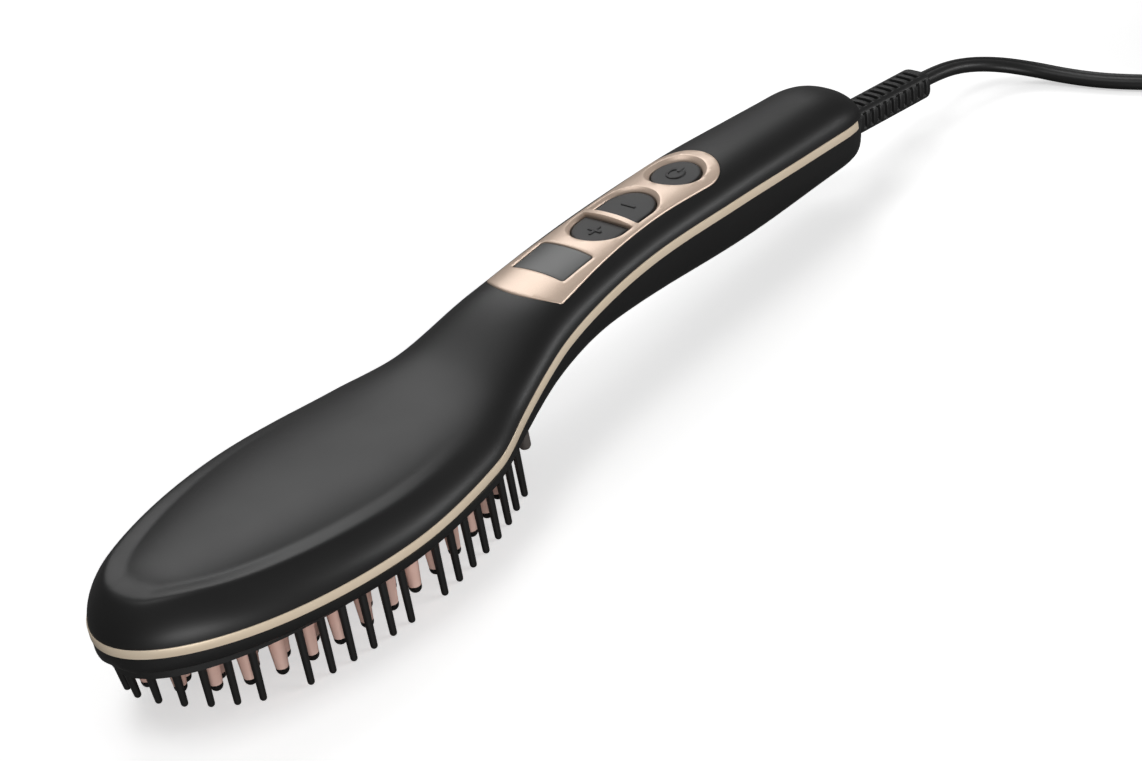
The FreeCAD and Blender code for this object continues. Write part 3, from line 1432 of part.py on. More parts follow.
# ---------------------------------------------------------------- cord
def tube_along(points, radius):
    """A round tube along straight runs joined by tangent arcs."""
    edges = []
    radii = []
    start = points[0]
    for before, corner, after in zip(points, points[1:], points[2:]):
        back = (before - corner).normalize()
        on = (after - corner).normalize()
        turn = math.pi - back.getAngle(on)
        shorter = min((before - corner).Length, (after - corner).Length)
        reach = 0.45 * shorter
        radii.append(reach / math.tan(turn / 2))
        middle = (back + on).normalize()
        centre_distance = math.hypot(radii[-1], reach)
        first = corner + back * reach
        last = corner + on * reach
        top = corner + middle * (centre_distance - radii[-1])
        edges.append(Part.LineSegment(start, first).toShape())
        edges.append(Part.Arc(first, top, last).toShape())
        start = last
    edges.append(Part.LineSegment(start, points[-1]).toShape())
    path = Part.Wire(edges)
    ring = Part.Wire(Part.makeCircle(radius, points[0], points[1] - points[0]))
    tube = path.makePipeShell([ring], True, False)
    length = sum(e.Length for e in edges)
    expected = math.pi * radius ** 2 * length
    if abs(tube.Volume / expected - 1) > 0.01:
        raise ValueError("tube volume is off: %.1f for %.1f" % (tube.Volume, expected))
    return tube, radii, length


def boot_end():
    reach = size("collar_length") + size("boot_length")
    return tail_frame().multVec(Vector(reach, 0, 0))


# The route leaves the boot along its axis, comes down to the floor and bends
# to the near side: x and y past the boot's end, and the share of the way down.
CORD_BEND = [
    (20.4, -2.2, 0.33),
    (29.0, -8.0, 0.59),
    (34.6, -16.8, 0.83),
    (37.04, -26.5, 0.96),
    (39.1, -37.0, 1.0),
    (41.8, -46.6, 1.0),
]
CORD_LEAD = 10.0
COIL_MIDDLE = (96.9, -70.0)
COIL_RISE = 2 * size("cord_radius") * (size("coil_layers") - 1)
COIL_OUTER = size("coil_middle_radius") + size("cord_width") * (size("coil_turns") - 1) / 2


def coil_centre():
    return Vector(boot_end().x + COIL_MIDDLE[0], COIL_MIDDLE[1], 0)


# Heading of the cord where it joins the first turn, and the joint itself.
COIL_ANGLE = math.radians(size("coil_start"))
COIL_HEADING = Vector(-math.sin(COIL_ANGLE), math.cos(COIL_ANGLE), 0)
COIL_JOIN = coil_centre() + Vector(COIL_OUTER * math.cos(COIL_ANGLE),
                                   COIL_OUTER * math.sin(COIL_ANGLE), CORD_LEVEL)
COIL_ENTRY = COIL_JOIN - COIL_HEADING * size("coil_stub")
# The rest of the cord leaves the coil's far side and ends in the plug's relief.
TAIL_JOIN = coil_centre() + Vector(COIL_OUTER, 0, CORD_LEVEL + COIL_RISE)
TAIL_START = TAIL_JOIN + Vector(0, size("coil_exit"), 0)
PLUG_RELIEF_END = Vector(TAIL_START.x, TAIL_START.y + 16.0,
                         size("plug_height") / 2 - size("bristle_level"))
TAIL_ROUTE = [
    TAIL_START + Vector(0, 5.0, 0),
    PLUG_RELIEF_END - Vector(0, 5.0, 0),
]


def make_cord():
    radius = size("cord_radius")
    start = boot_end()
    lead = Vector(size("collar_length") + size("boot_length") + CORD_LEAD, 0, 0)
    points = [start, tail_frame().multVec(lead)]
    for x, y, fall in CORD_BEND:
        points.append(start + Vector(x, y, fall * (CORD_LEVEL - start.z)))
    points += [COIL_ENTRY - COIL_HEADING * 9.0, COIL_ENTRY]
    first, first_radii, first_length = tube_along(points, radius)
    points = [TAIL_START] + TAIL_ROUTE + [PLUG_RELIEF_END]
    second, second_radii, second_length = tube_along(points, radius)
    print("cord radii", [round(r) for r in first_radii + second_radii])
    node_of_shape("mains_cord", Part.makeCompound([first, second]))
    centre = coil_centre()
    floor = CORD_LEVEL - radius
    half_w = size("cord_width") / 2
    height = 2 * radius * size("coil_layers")
    ring = column(centre.x, centre.y, COIL_OUTER + half_w, floor, floor + height)
    inner = 2 * size("coil_middle_radius") - COIL_OUTER - half_w
    ring = ring.cut(column(centre.x, centre.y, inner, floor - 1, floor + height + 1))
    entry = Part.makeCylinder(radius, size("coil_stub"), COIL_ENTRY, COIL_HEADING)
    leaving = Part.makeCylinder(radius, size("coil_exit"), TAIL_JOIN, Vector(0, 1, 0))
    node_of_shape("cord_coil", ring.multiFuse([entry, leaving]).removeSplitter())
    turns = size("coil_turns") * size("coil_layers") - size("coil_start") / 360
    coiled = turns * 2 * math.pi * size("coil_middle_radius")
    coiled += size("coil_stub") + size("coil_exit")
    print("plug face", plug_place().Base, "coil", centre, COIL_OUTER)
    print("cord length", round(first_length + second_length + coiled))
    make_tie(centre, inner, floor, height)


def make_tie(centre, inner, floor, height):
    """A strap round the coil, opposite the end of its last turn."""
    width = size("tie_width")
    thick = size("tie_thickness")
    outer = COIL_OUTER + size("cord_width") / 2
    hole_in = math.sqrt(inner ** 2 - (width / 2) ** 2) - 0.4
    hole_out = outer + 0.3
    low = floor + 0.0
    block = Part.makeBox(hole_out - hole_in + 2 * thick, width, height + thick,
                         Vector(centre.x + hole_in - thick, centre.y - width / 2, low))
    hole = Part.makeBox(hole_out - hole_in, width + 2, height + 0.0,
                        Vector(centre.x + hole_in, centre.y - width / 2 - 1, low))
    strap = block.cut(hole)
    strap.rotate(centre, Vector(0, 0, 1), -45)
    node_of_shape("cord_tie", strap)


# ---------------------------------------------------------------- plug
def plug_place():
    """Placement of the plug: +X of its own frame along the pins."""
    face = PLUG_RELIEF_END + Vector(0, size("relief_length") + size("plug_depth"), 0)
    return FreeCAD.Placement(face, Rotation(Vector(0, 0, 1), 90))


def oval(x, width, height):
    half_w = width / 2
    half_h = height / 2
    flat = half_w - half_h
    edges = [
        Part.makeLine(Vector(x, -flat, -half_h), Vector(x, flat, -half_h)),
        Part.Arc(Vector(x, flat, -half_h), Vector(x, half_w, 0), Vector(x, flat, half_h)).toShape(),
        Part.makeLine(Vector(x, flat, half_h), Vector(x, -flat, half_h)),
        Part.Arc(Vector(x, -flat, half_h), Vector(x, -half_w, 0), Vector(x, -flat, -half_h)).toShape(),
    ]
    return Part.Wire(edges)


def make_plug():
    depth = size("plug_depth")
    width = size("plug_width")
    height = size("plug_height")
    r = size("relief_radius")
    wires = [
        oval(0, width, height),
        oval(-0.35 * depth, width, height),
        oval(-0.7 * depth, 0.72 * width, 0.9 * height),
        oval(-depth, 2.6 * r, 2.2 * r),
    ]
    body = Part.makeLoft(wires, True, True)
    spots = [Vector(0, s * size("plug_pin_spacing") / 2, 0) for s in (-1, 1)]
    seat = 8.0
    along_x = Vector(1, 0, 0)
    core = 1.5
    sleeve = size("plug_sleeve_length")
    total = size("plug_pin_length")
    pin_r = size("plug_pin_radius")
    pins = []
    sleeves = []
    for spot in spots:
        shank = Part.makeCylinder(core, seat + sleeve, spot - Vector(seat, 0, 0), along_x)
        bare = Part.makeCylinder(pin_r, total - sleeve, spot + Vector(sleeve, 0, 0), along_x)
        end = [e for e in bare.Edges if abs(e.BoundBox.XMin - total) < 1e-6
               and abs(e.BoundBox.XMax - total) < 1e-6]
        bare = bare.makeFillet(0.9, end)
        pins.append(shank.fuse(bare).removeSplitter())
        tube = Part.makeCylinder(pin_r - 0.3, sleeve, spot, along_x)
        sleeves.append(tube.cut(Part.makeCylinder(core, sleeve, spot, along_x)))
    body = body.cut(pins)
    relief = []
    ribs = 6
    length = size("relief_length")
    profile = [Vector(-depth, 0, 0), Vector(-depth, 0, r)]
    for i in range(ribs):
        a = -depth - length * (i + 0.55) / ribs
        b = -depth - length * (i + 1.0) / ribs
        outer_r = r * (1 - 0.22 * i / ribs)
        profile.append(Vector(a, 0, outer_r))
        profile.append(Vector(a, 0, outer_r * 0.8))
        profile.append(Vector(b, 0, outer_r * 0.8))
        if i < ribs - 1:
            profile.append(Vector(b, 0, r * (1 - 0.22 * (i + 1) / ribs)))
    profile.append(Vector(-depth - length, 0, 0))
    relief = revolve(profile, Vector(0, 0, 0), along_x)
    for label, shape in (("plug_body", body), ("plug_pins", Part.makeCompound(pins)),
                         ("plug_sleeves", Part.makeCompound(sleeves)),
                         ("plug_relief", relief)):
        shape.Placement = plug_place()
        node_of_shape(label, shape)


def make_housing_screws():
    screws = []
    for x, y in HOUSING_SCREWS:
        reach = screw_meeting(x) - screw_seat(x) + size("screw_bite") - 0.5
        made = screw(size("screw_head_radius"), size("screw_head_height"),
                     size("screw_radius"), reach)
        made.translate(Vector(x, y, screw_seat(x)))
        screws.append(made)
    node_of_shape("housing_screws", Part.makeCompound(screws))


# ---------------------------------------------------------------- build
make_top_cover()
make_lower_housing()
make_trim_band()
make_control_panel()
make_display_window()
make_comb_ring(make_bristles())
print("pins", make_pins(), "bristles", len(bristle_spots()))
make_heat_plate()
make_heater_stack()
make_heat_sensors()
make_heat_shield()
make_rocker_key("plus_button", "front", "rear", True, (True, False))
make_rocker_key("minus_button", "front", "rear", False, (True,))
make_power_button()
make_control_board()
make_switches()
make_display_module()
make_components()
make_ion_parts()
make_wiring()
make_swivel()
make_boot()
make_cord()
make_plug()
make_housing_screws()
doc.recompute()

faults = []
for obj in doc.Objects:
    if "Invalid" in obj.State or "Error" in obj.State:
        faults.append("%s is %s" % (obj.Name, obj.State))
for obj in nodes:
    if obj.Shape.isNull() or not obj.Shape.isValid() or not obj.Shape.Solids:
        faults.append("%s has no valid solid" % obj.Label)
if faults:
    raise RuntimeError("; ".join(faults))
for obj in nodes:
    obj.Shape.exportStep("parts/%s.step" % obj.Label)
print(len(nodes), "sub-parts")
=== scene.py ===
import json
import math
import bmesh
import bpy
from mathutils import Matrix, Vector


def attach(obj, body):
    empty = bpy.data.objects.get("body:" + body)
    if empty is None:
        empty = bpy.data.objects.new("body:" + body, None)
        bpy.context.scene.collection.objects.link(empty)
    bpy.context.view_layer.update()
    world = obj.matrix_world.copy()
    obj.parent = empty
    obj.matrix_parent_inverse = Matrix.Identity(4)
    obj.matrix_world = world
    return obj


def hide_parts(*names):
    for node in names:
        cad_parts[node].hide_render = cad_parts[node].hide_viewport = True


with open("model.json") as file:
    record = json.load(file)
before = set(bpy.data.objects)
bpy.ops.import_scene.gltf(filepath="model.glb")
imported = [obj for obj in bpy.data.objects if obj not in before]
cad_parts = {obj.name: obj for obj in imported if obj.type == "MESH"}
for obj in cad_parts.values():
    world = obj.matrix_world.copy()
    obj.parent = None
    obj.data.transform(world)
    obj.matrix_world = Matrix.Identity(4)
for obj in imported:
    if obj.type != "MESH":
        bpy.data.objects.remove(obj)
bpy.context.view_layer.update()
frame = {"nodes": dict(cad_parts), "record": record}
scene = bpy.context.scene

# drawing numbers are millimetres: x from the nose, y from the middle, z from the drawing's zero
middleX = 149.5325
floorDrop = 24.0
mergeWithin = 0.000005  # metres, for points of a finished mesh


def place(x, y, z):
    # a point of the drawing in the frame's metres
    return Vector((x - middleX, y, z + floorDrop)) / 1000


# angles in degrees, the place in metres, lens and sensor in millimetres
view = {"azimuth": -43.799, "elevation": 31.672, "roll": -11.124,
        "at": (-0.545528, -0.591139, 0.509509), "lens": 110.2, "sensor": 36, "nearest": 0.01}


def makeCamera():
    a, e, r = (math.radians(view[k]) for k in ("azimuth", "elevation", "roll"))
    back = Vector((math.sin(a) * math.cos(e), -math.cos(a) * math.cos(e), math.sin(e)))
    level = Vector((math.cos(a), math.sin(a), 0))
    up = back.cross(level)
    right = math.cos(r) * level + math.sin(r) * up
    top = -math.sin(r) * level + math.cos(r) * up
    data = bpy.data.cameras.new("camera")
    data.sensor_width = view["sensor"]
    data.sensor_fit = "HORIZONTAL"
    data.lens = view["lens"]
    data.clip_start = view["nearest"]
    camera = bpy.data.objects.new("camera", data)
    turn = Matrix((right, top, back)).transposed().to_4x4()
    camera.matrix_world = Matrix.Translation(Vector(view["at"])) @ turn
    scene.collection.objects.link(camera)
    scene.camera = camera


makeCamera()
print("camera set")

# the body's form in the solids' own numbers; its rows are (x, value) stations, and
# each closing at the tail is (share left, power)
form = {
    "length": 293.0, "wideX": 75.0, "halfWidth": 35.8, "nosePower": 1.81,
    "width": [(40.0, 31.2), (75.0, 35.8), (110.0, 31.2), (130.0, 23.9), (148.0, 19.9),
              (165.0, 17.7), (195.0, 16.5), (235.0, 16.5), (281.0, 15.0), (296.0, 14.5)],
    "trim": [(0, 3.3), (37.5, 0.76), (90, -0.9), (125, 0.0), (155, 7.0), (190, 10.3),
             (230, 8.24), (265, 4.605), (296, 1.2)],
    "crown": [(0, 12.2), (60, 13.5), (110, 11.173), (148, 10.4), (190, 8.5),
              (240, 9.6), (281, 9.9), (296, 9.9)],
    "crownPower": 2.3, "noseCrownX": 22, "noseCrownPower": 2.2,
    "tailX": 281.0, "pastEnd": 3, "tailWidth": (0.72, 2.6), "tailCrown": (0.505, 2.2),
    "slantX": 278, "swivelLevel": -4.6, "swivelTilt": 8.0,
}
swivelTurn = math.radians(form["swivelTilt"])


def smooth(stations, x):
    # a smooth line through the stations, level outside them
    if x <= stations[0][0]:
        return stations[0][1]
    if x >= stations[-1][0]:
        return stations[-1][1]
    slopes = []
    for i in range(len(stations)):
        left = stations[max(i - 1, 0)]
        right = stations[min(i + 1, len(stations) - 1)]
        slopes.append((right[1] - left[1]) / (right[0] - left[0]))
    i = max(k for k in range(len(stations) - 1) if stations[k][0] <= x)
    step = stations[i + 1][0] - stations[i][0]
    t = (x - stations[i][0]) / step
    low = (2 * t ** 3 - 3 * t ** 2 + 1) * stations[i][1]
    low += (t ** 3 - 2 * t ** 2 + t) * step * slopes[i]
    high = (3 * t ** 2 - 2 * t ** 3) * stations[i + 1][1]
    high += (t ** 3 - t ** 2) * step * slopes[i + 1]
    return low + high


def tailClosing(x, share, power):
    if x <= form["tailX"]:
        return 1.0
    t = (x - form["tailX"]) / (form["length"] + form["pastEnd"] - form["tailX"])
    return (1 - (1 - share ** power) * t ** power) ** (1 / power)


def halfWidth(x):
    if x < form["wideX"]:
        t = (form["wideX"] - max(x, 0.0)) / form["wideX"]
        return form["halfWidth"] * math.sqrt(max(0.0, 1 - t ** form["nosePower"]))
    return smooth(form["width"], x) * tailClosing(x, *form["tailWidth"])


def trimLevel(x):
    return smooth(form["trim"], x)


def crown(x):
    height = smooth(form["crown"], x)
    if x < form["noseCrownX"]:
        t = 1 - max(x, 0.0) / form["noseCrownX"]
        height *= math.sqrt(max(0.0, 1 - t ** form["noseCrownPower"]))
    return height * tailClosing(x, *form["tailCrown"])


def surfaceZ(x, y):
    q = min(1.0, abs(y) / max(halfWidth(x), 0.01))
    return trimLevel(x) + crown(x) * (1 - q ** form["crownPower"]) ** (1 / form["crownPower"])


def tailShift(x, z):
    # the end face is square to the swivel's axis
    share = max(0.0, (x - form["slantX"]) / (form["length"] - form["slantX"]))
    return share * math.tan(swivelTurn) * (z - form["swivelLevel"])


# the mains cord comes first of all the pieces, on the solids' route
cord = {"width": 5.8, "thick": 3.8, "groove": 0.35, "grooveHalf": 0.6, "roundSteps": 8,
        "seam": 0.004, "level": -22.1, "bootEnd": 45.0, "straight": 10.0,
        # x past the boot, y, and the share of the way down to the floor
        "bend": ((20.4, -2.2, 0.33), (29.0, -8.0, 0.59), (34.6, -16.8, 0.83),
                 (37.04, -26.5, 0.96), (39.1, -37.0, 1.0), (41.8, -46.6, 1.0)),
        "runIn": (35.0, 26.0, 13.0), "hub": (96.9, -70.0), "outer": 40.7, "start": 205.0,
        # counted in turns: the lower layer winds in, the cord climbs, the upper one winds out
        "turns": 8, "pointsPerTurn": 18, "rings": 3,
        "windIn": 0.4, "climbAt": 3.4, "climb": 0.7, "windOut": 4.1,
        "runOut": 20.0, "toPlug": 16.0, "plugLevel": -17.15}


def alongAxis(distance):
    # a point on the swivel's axis, past the end face
    return (form["length"] + distance * math.cos(swivelTurn), 0.0,
            form["swivelLevel"] - distance * math.sin(swivelTurn))


boot = alongAxis(cord["bootEnd"])
drop = cord["level"] - boot[2]
hub = (boot[0] + cord["hub"][0], cord["hub"][1])
leaving = (hub[0] + cord["outer"], hub[1] + cord["runOut"], cord["level"] + cord["thick"])
relief = (leaving[0], leaving[1] + cord["toPlug"], cord["plugLevel"])


def beforeCoil(distance):
    # a point on the straight run into the first turn
    start = math.radians(cord["start"])
    x = hub[0] + cord["outer"] * math.cos(start) + distance * math.sin(start)
    y = hub[1] + cord["outer"] * math.sin(start) - distance * math.cos(start)
    return x, y, cord["level"]


def coilPoints():
    points = []
    turns = cord["turns"] - cord["start"] / 360
    count = round(turns * cord["pointsPerTurn"])
    grow = 1 / math.cos(math.pi / cord["pointsPerTurn"])  # the spline runs inside its points
    rings = cord["rings"]
    for i in range(count + 1):
        turn = turns * i / count
        inwards = min(max(turn - cord["windIn"], 0), rings)
        inwards -= min(max(turn - cord["windOut"], 0), rings)
        rise = min(max((turn - cord["climbAt"]) / cord["climb"], 0), 1)
        radius = (cord["outer"] - cord["width"] * inwards) * grow
        angle = math.radians(cord["start"]) + 2 * math.pi * turn
        points.append((hub[0] + radius * math.cos(angle), hub[1] + radius * math.sin(angle),
                       cord["level"] + cord["thick"] * (3 * rise ** 2 - 2 * rise ** 3)))
    return points


cordRoute = [boot, alongAxis(cord["bootEnd"] + cord["straight"])]
for x, y, fall in cord["bend"]:
    cordRoute.append((boot[0] + x, y, boot[2] + fall * drop))
cordRoute += [beforeCoil(distance) for distance in cord["runIn"]]
cordRoute += coilPoints()
for (x, y, z), ahead in ((leaving, -10.0), (leaving, 0.0), (leaving, 5.0),
                         (relief, -5.0), (relief, 0.0)):
    cordRoute.append((x, y + ahead, z))


def meshOf(obj):
    ready = obj.evaluated_get(bpy.context.evaluated_depsgraph_get())
    return bpy.data.meshes.new_from_object(ready)


def splineOf(points):
    curve = bpy.data.curves.new("cordLine", "CURVE")
    curve.dimensions = "3D"
    curve.resolution_u = 8
    line = curve.splines.new("NURBS")
    line.points.add(len(points) - 1)
    for spot, point in zip(line.points, points):
        spot.co = (*place(*point), 1)
    line.order_u = 3
    line.use_endpoint_u = True
    obj = bpy.data.objects.new("cordLine", curve)
    scene.collection.objects.link(obj)
    traced = meshOf(obj)
    path = [v.co.copy() for v in traced.vertices]
    bpy.data.objects.remove(obj)
    bpy.data.meshes.remove(traced)
    return path


# making pieces
def shade(mesh, angle):
    mesh.shade_smooth()
    mesh.set_sharp_from_angle(angle=math.radians(angle))


def piece(bm, name, body, slot, angle, nodes=()):
    # a finished piece on its body, in place of the CAD nodes that it stands for; edges
    # sharper than the angle, in degrees, are shaded sharp
    bmesh.ops.remove_doubles(bm, verts=bm.verts, dist=mergeWithin)
    mesh = bpy.data.meshes.new(name)
    bm.to_mesh(mesh)
    bm.free()
    shade(mesh, angle)
    mesh.materials.append(finishes[slot])
    obj = bpy.data.objects.new(name, mesh)
    scene.collection.objects.link(obj)
    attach(obj, body)
    if nodes:
        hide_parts(*nodes)
    return obj


def toFrame(bm):
    for vert in bm.verts:
        vert.co = place(*vert.co)


def skin(columns, rows, shape):
    # a grid whose points go where shape(u, v) says
    bm = bmesh.new()
    bmesh.ops.create_grid(bm, x_segments=columns, y_segments=rows, size=1)
    reach = max(v.co.x for v in bm.verts)
    for vert in bm.verts:
        u, v = vert.co.x / reach / 2 + 0.5, vert.co.y / reach / 2 + 0.5
        vert.co = shape(min(max(u, 0), 1), min(max(v, 0), 1))
    return bm


def outwards(bm, within):
    bmesh.ops.remove_doubles(bm, verts=bm.verts, dist=within)
    bmesh.ops.recalc_face_normals(bm, faces=bm.faces)


def closeHoles(bm):
    bmesh.ops.holes_fill(bm, edges=[e for e in bm.edges if e.is_boundary], sides=0)


def cutOut(obj, opening):
    other = bpy.data.objects.new("opening", opening)
    scene.collection.objects.link(other)
    step = obj.modifiers.new("cut", "BOOLEAN")
    step.operation = "DIFFERENCE"
    step.solver = "EXACT"
    step.object = other
    cut = meshOf(obj)
    whole = obj.data
    obj.modifiers.clear()
    obj.data = cut
    bpy.data.objects.remove(other)
    for unused in (whole, opening):
        bpy.data.meshes.remove(unused)
    obj.data.name = obj.name


def along(stations, share):
    spot = share * (len(stations) - 1)
    i = min(int(spot), len(stations) - 2)
    return stations[i] + (stations[i + 1] - stations[i]) * (spot - i)


# an outline in plan is a closed row of arcs (x, y, radius, start, end, steps) that straight
# sides join; growing it moves it outwards evenly
sideStep = 1.2


def arcPoint(arc, grow, angle):
    x, y, radius = arc[:3]
    r = radius + grow
    return x + r * math.cos(math.radians(angle)), y + r * math.sin(math.radians(angle))


def ringPoints(arcs, grow):
    points = []
    rows = []
    for arc in arcs:
        start, end, steps = arc[3:]
        rows.append([arcPoint(arc, grow, start + (end - start) * k / steps)
                     for k in range(steps + 1)])
    for i, row in enumerate(rows):
        points += row
        after = (i + 1) % len(rows)
        (x0, y0), (x1, y1) = row[-1], rows[after][0]
        # a side is divided as it was before growing, so all rings have the same steps
        a, b = arcPoint(arcs[i], 0, arcs[i][4]), arcPoint(arcs[after], 0, arcs[after][3])
        pieces = int(math.hypot(b[0] - a[0], b[1] - a[1]) / sideStep)
        for k in range(1, pieces):
            t = k / pieces
            points.append((x0 + (x1 - x0) * t, y0 + (y1 - y0) * t))
    return [p for i, p in enumerate(points)
            if math.hypot(p[0] - points[i - 1][0], p[1] - points[i - 1][1]) > 1e-4]


def ringEdges(bm, points, z):
    verts = [bm.verts.new((x, y, z)) for x, y in points]
    return [bm.edges.new((verts[i - 1], verts[i])) for i in range(len(verts))]


def bridged(bm, rings):
    # walls from each ring to the next; gives back the first ring
    for one, other in zip(rings, rings[1:]):
        bmesh.ops.bridge_loops(bm, edges=one + other)
    return rings[0]


def ringWall(bm, arcs, profile, outline=ringPoints):
    # bridged rings of one outline, at (grow, height) steps
    return bridged(bm, [ringEdges(bm, outline(arcs, grow), z) for grow, z in profile])


def fillTop(bm, edges):
    bmesh.ops.triangle_fill(bm, use_beauty=True, use_dissolve=False, edges=edges)


def sliceFlat(bm, step, low, high):
    # only the flat top is sliced, so the rims keep their even steps
    for axis in (0, 1):
        at = low[axis] + step
        while at < high[axis]:
            normal = [0, 0, 0]
            spot = [0, 0, 0]
            normal[axis], spot[axis] = 1, at
            flat = [f for f in bm.faces if all(abs(v.co.z) < 1e-5 for v in f.verts)]
            parts = set(flat)
            for face in flat:
                parts.update(face.edges)
                parts.update(face.verts)
            bmesh.ops.bisect_plane(bm, geom=list(parts), dist=1e-4, plane_co=spot, plane_no=normal)
            at += step


# materials
class Signal:
    # a socket that takes part in arithmetic
    def __init__(self, finish, socket):
        self.finish, self.socket = finish, socket

    def maths(self, operation, first, second, clamp=False):
        return self.finish.node("ShaderNodeMath", {"operation": operation, "use_clamp": clamp},
                                {0: first, 1: second})

    def __add__(self, other):
        return self.maths("ADD", self, other)

    def __sub__(self, other):
        return self.maths("SUBTRACT", self, other)

    def __rsub__(self, other):
        return self.maths("SUBTRACT", other, self)

    def __mul__(self, other):
        return self.maths("MULTIPLY", self, other)

    def __truediv__(self, other):
        return self.maths("DIVIDE", self, other)

    __radd__ = __add__
    __rmul__ = __mul__

    def clamped(self):
        return self.maths("ADD", self, 0.0, True)


class Finish:
    # a material that expressions and node() build up
    def __init__(self, name, sockets):
        self.material = bpy.data.materials.new(name)
        self.material.use_nodes = True
        self.tree = self.material.node_tree
        self.shader = self.tree.nodes["Principled BSDF"]
        for socket, value in sockets.items():
            self.feed(socket, value)
        self.where = self.node("ShaderNodeTexCoord", output="Object")

    def node(self, kind, settings=None, inputs=None, output=0):
        made = self.tree.nodes.new(kind)
        for key, value in (settings or {}).items():
            setattr(made, key, value)
        for key, value in (inputs or {}).items():
            self.join(made.inputs[key], value)
        return Signal(self, made.outputs[output])

    def join(self, socket, value):
        if isinstance(value, Signal):
            self.tree.links.new(value.socket, socket)
        else:
            socket.default_value = value

    def feed(self, socket, value):
        self.join(self.shader.inputs[socket], value)

    def noise(self, scale, detail=2.0, roughness=0.5, stretch=None):
        vector = self.where
        if stretch:
            vector = self.node("ShaderNodeMapping", {}, {"Vector": self.where, "Scale": stretch})
        return self.node("ShaderNodeTexNoise", {}, {"Vector": vector, "Scale": scale,
                                                    "Detail": detail, "Roughness": roughness})

    def between(self, factor, first, second):
        return self.node("ShaderNodeMix", {"data_type": "RGBA"},
                         {0: factor, 6: (*first, 1), 7: (*second, 1)}, output=2)

    def bump(self, height, distance, strength):
        self.feed("Normal", self.node("ShaderNodeBump", {}, {"Height": height, "Strength": strength,
                                                             "Distance": distance}))


def softTouch():
    # matt charcoal coating: fine grain, a faint cloudiness and worn-in smoother spots
    made = Finish("softTouch", {"IOR": 1.45, "Specular IOR Level": 0.42})
    cloud = made.noise(38.0, 3.0, 0.55)
    grain = made.noise(5200.0, 2.0, 0.6)
    made.feed("Base Color", made.between(cloud, (0.0095, 0.0095, 0.0097), (0.0135, 0.0133, 0.0131)))
    made.feed("Roughness", 0.36 + cloud * 0.09 + grain * 0.05)
    made.bump(grain, 0.00002, 0.35)
    return made.material


def roseGold():
    # lacquered metallic: tiny flakes under a satin coat
    made = Finish("roseGold", {"IOR": 1.5, "Coat Weight": 0.25, "Coat Roughness": 0.22})
    flake = made.node("ShaderNodeTexVoronoi", {}, {"Vector": made.where, "Scale": 7000.0}, "Color")
    sparkle = made.node("ShaderNodeSeparateColor", {}, {0: flake})
    tone = sparkle * 0.5 + made.noise(60.0) * 0.5
    made.feed("Base Color", made.between(tone, (0.72, 0.545, 0.425), (0.86, 0.68, 0.55)))
    made.feed("Metallic", 0.34 + sparkle * 0.1)
    made.feed("Roughness", 0.34 + sparkle * 0.10)
    made.bump(sparkle, 0.00001, 0.25)
    return made.material


def trimGold():
    # paler satin lacquer on the trim strip
    made = Finish("trimGold", {"IOR": 1.5, "Coat Weight": 0.1, "Coat Roughness": 0.3})
    cloud = made.noise(70.0)
    grain = made.noise(4200.0)
    made.feed("Base Color", made.between(cloud, (0.88, 0.71, 0.52), (0.95, 0.81, 0.63)))
    made.feed("Metallic", 0.16 + grain * 0.1)
    made.feed("Roughness", 0.36 + grain * 0.08)
    made.bump(grain, 0.00001, 0.2)
    return made.material


def smokedLens():
    # satin smoked window with a few hair-fine rub marks
    made = Finish("smokedLens", {"IOR": 1.5, "Coat Weight": 0.25, "Coat Roughness": 0.30})
    rub = made.noise(900.0, 3.0, 0.6, stretch=(0.2, 3.0, 1.0))
    depth = made.noise(25.0, 1.0)
    made.feed("Base Color", made.between(depth, (0.055, 0.057, 0.056), (0.075, 0.077, 0.075)))
    made.feed("Roughness", 0.38 + rub * 0.10)
    return made.material


def grained(name, dark, light, roughness, spread, scale, depth, sockets=None):
    # moulded or rubbery stock: two close tones, a fine grain and an uneven sheen
    made = Finish(name, sockets or {})
    cloud = made.noise(45.0)
    grain = made.noise(scale, 2.0, 0.6)
    made.feed("Base Color", made.between(cloud, dark, light))
    made.feed("Roughness", roughness + cloud * spread + grain * spread)
    made.bump(grain, depth, 0.4)
    return made.material


def brushed(name, dark, light, roughness, stretch=(1.0, 14.0, 14.0)):
    # bare metal with fine lines along one way
    made = Finish(name, {"Metallic": 1.0})
    lines = made.noise(900.0, 3.0, 0.6, stretch)
    made.feed("Base Color", made.between(made.noise(80.0), dark, light))
    made.feed("Roughness", roughness + lines * 0.14)
    made.bump(lines, 0.000006, 0.3)
    return made.material


def pinCopperPaintedShade():
    # tinted ceramic coat on the heated pins: pinkish, with painted shade that darkens them towards
    # the plate under the head
    made = Finish("pinCopperPaintedShade", {"IOR": 1.5, "Coat Weight": 0.15, "Coat Roughness": 0.35})
    level = made.node("ShaderNodeSeparateXYZ", {}, {0: made.where}, "Z")
    # painted shade: the pins' tone darkens upwards towards the plate, where the head shades them
    high = ((level - 0.003) / 0.014).clamped()  # metres from the floor
    cloud = made.noise(220.0, 3.0, 0.6)
    tone = (high * 0.5 + cloud * 0.4).clamped()
    made.feed("Base Color", made.between(tone, (0.96, 0.68, 0.59), (0.76, 0.45, 0.37)))
    made.feed("Metallic", 0.10 + cloud * 0.1)
    made.feed("Roughness", 0.40 + cloud * 0.12)
    made.bump(made.noise(3000.0), 0.00002, 0.3)
    return made.material


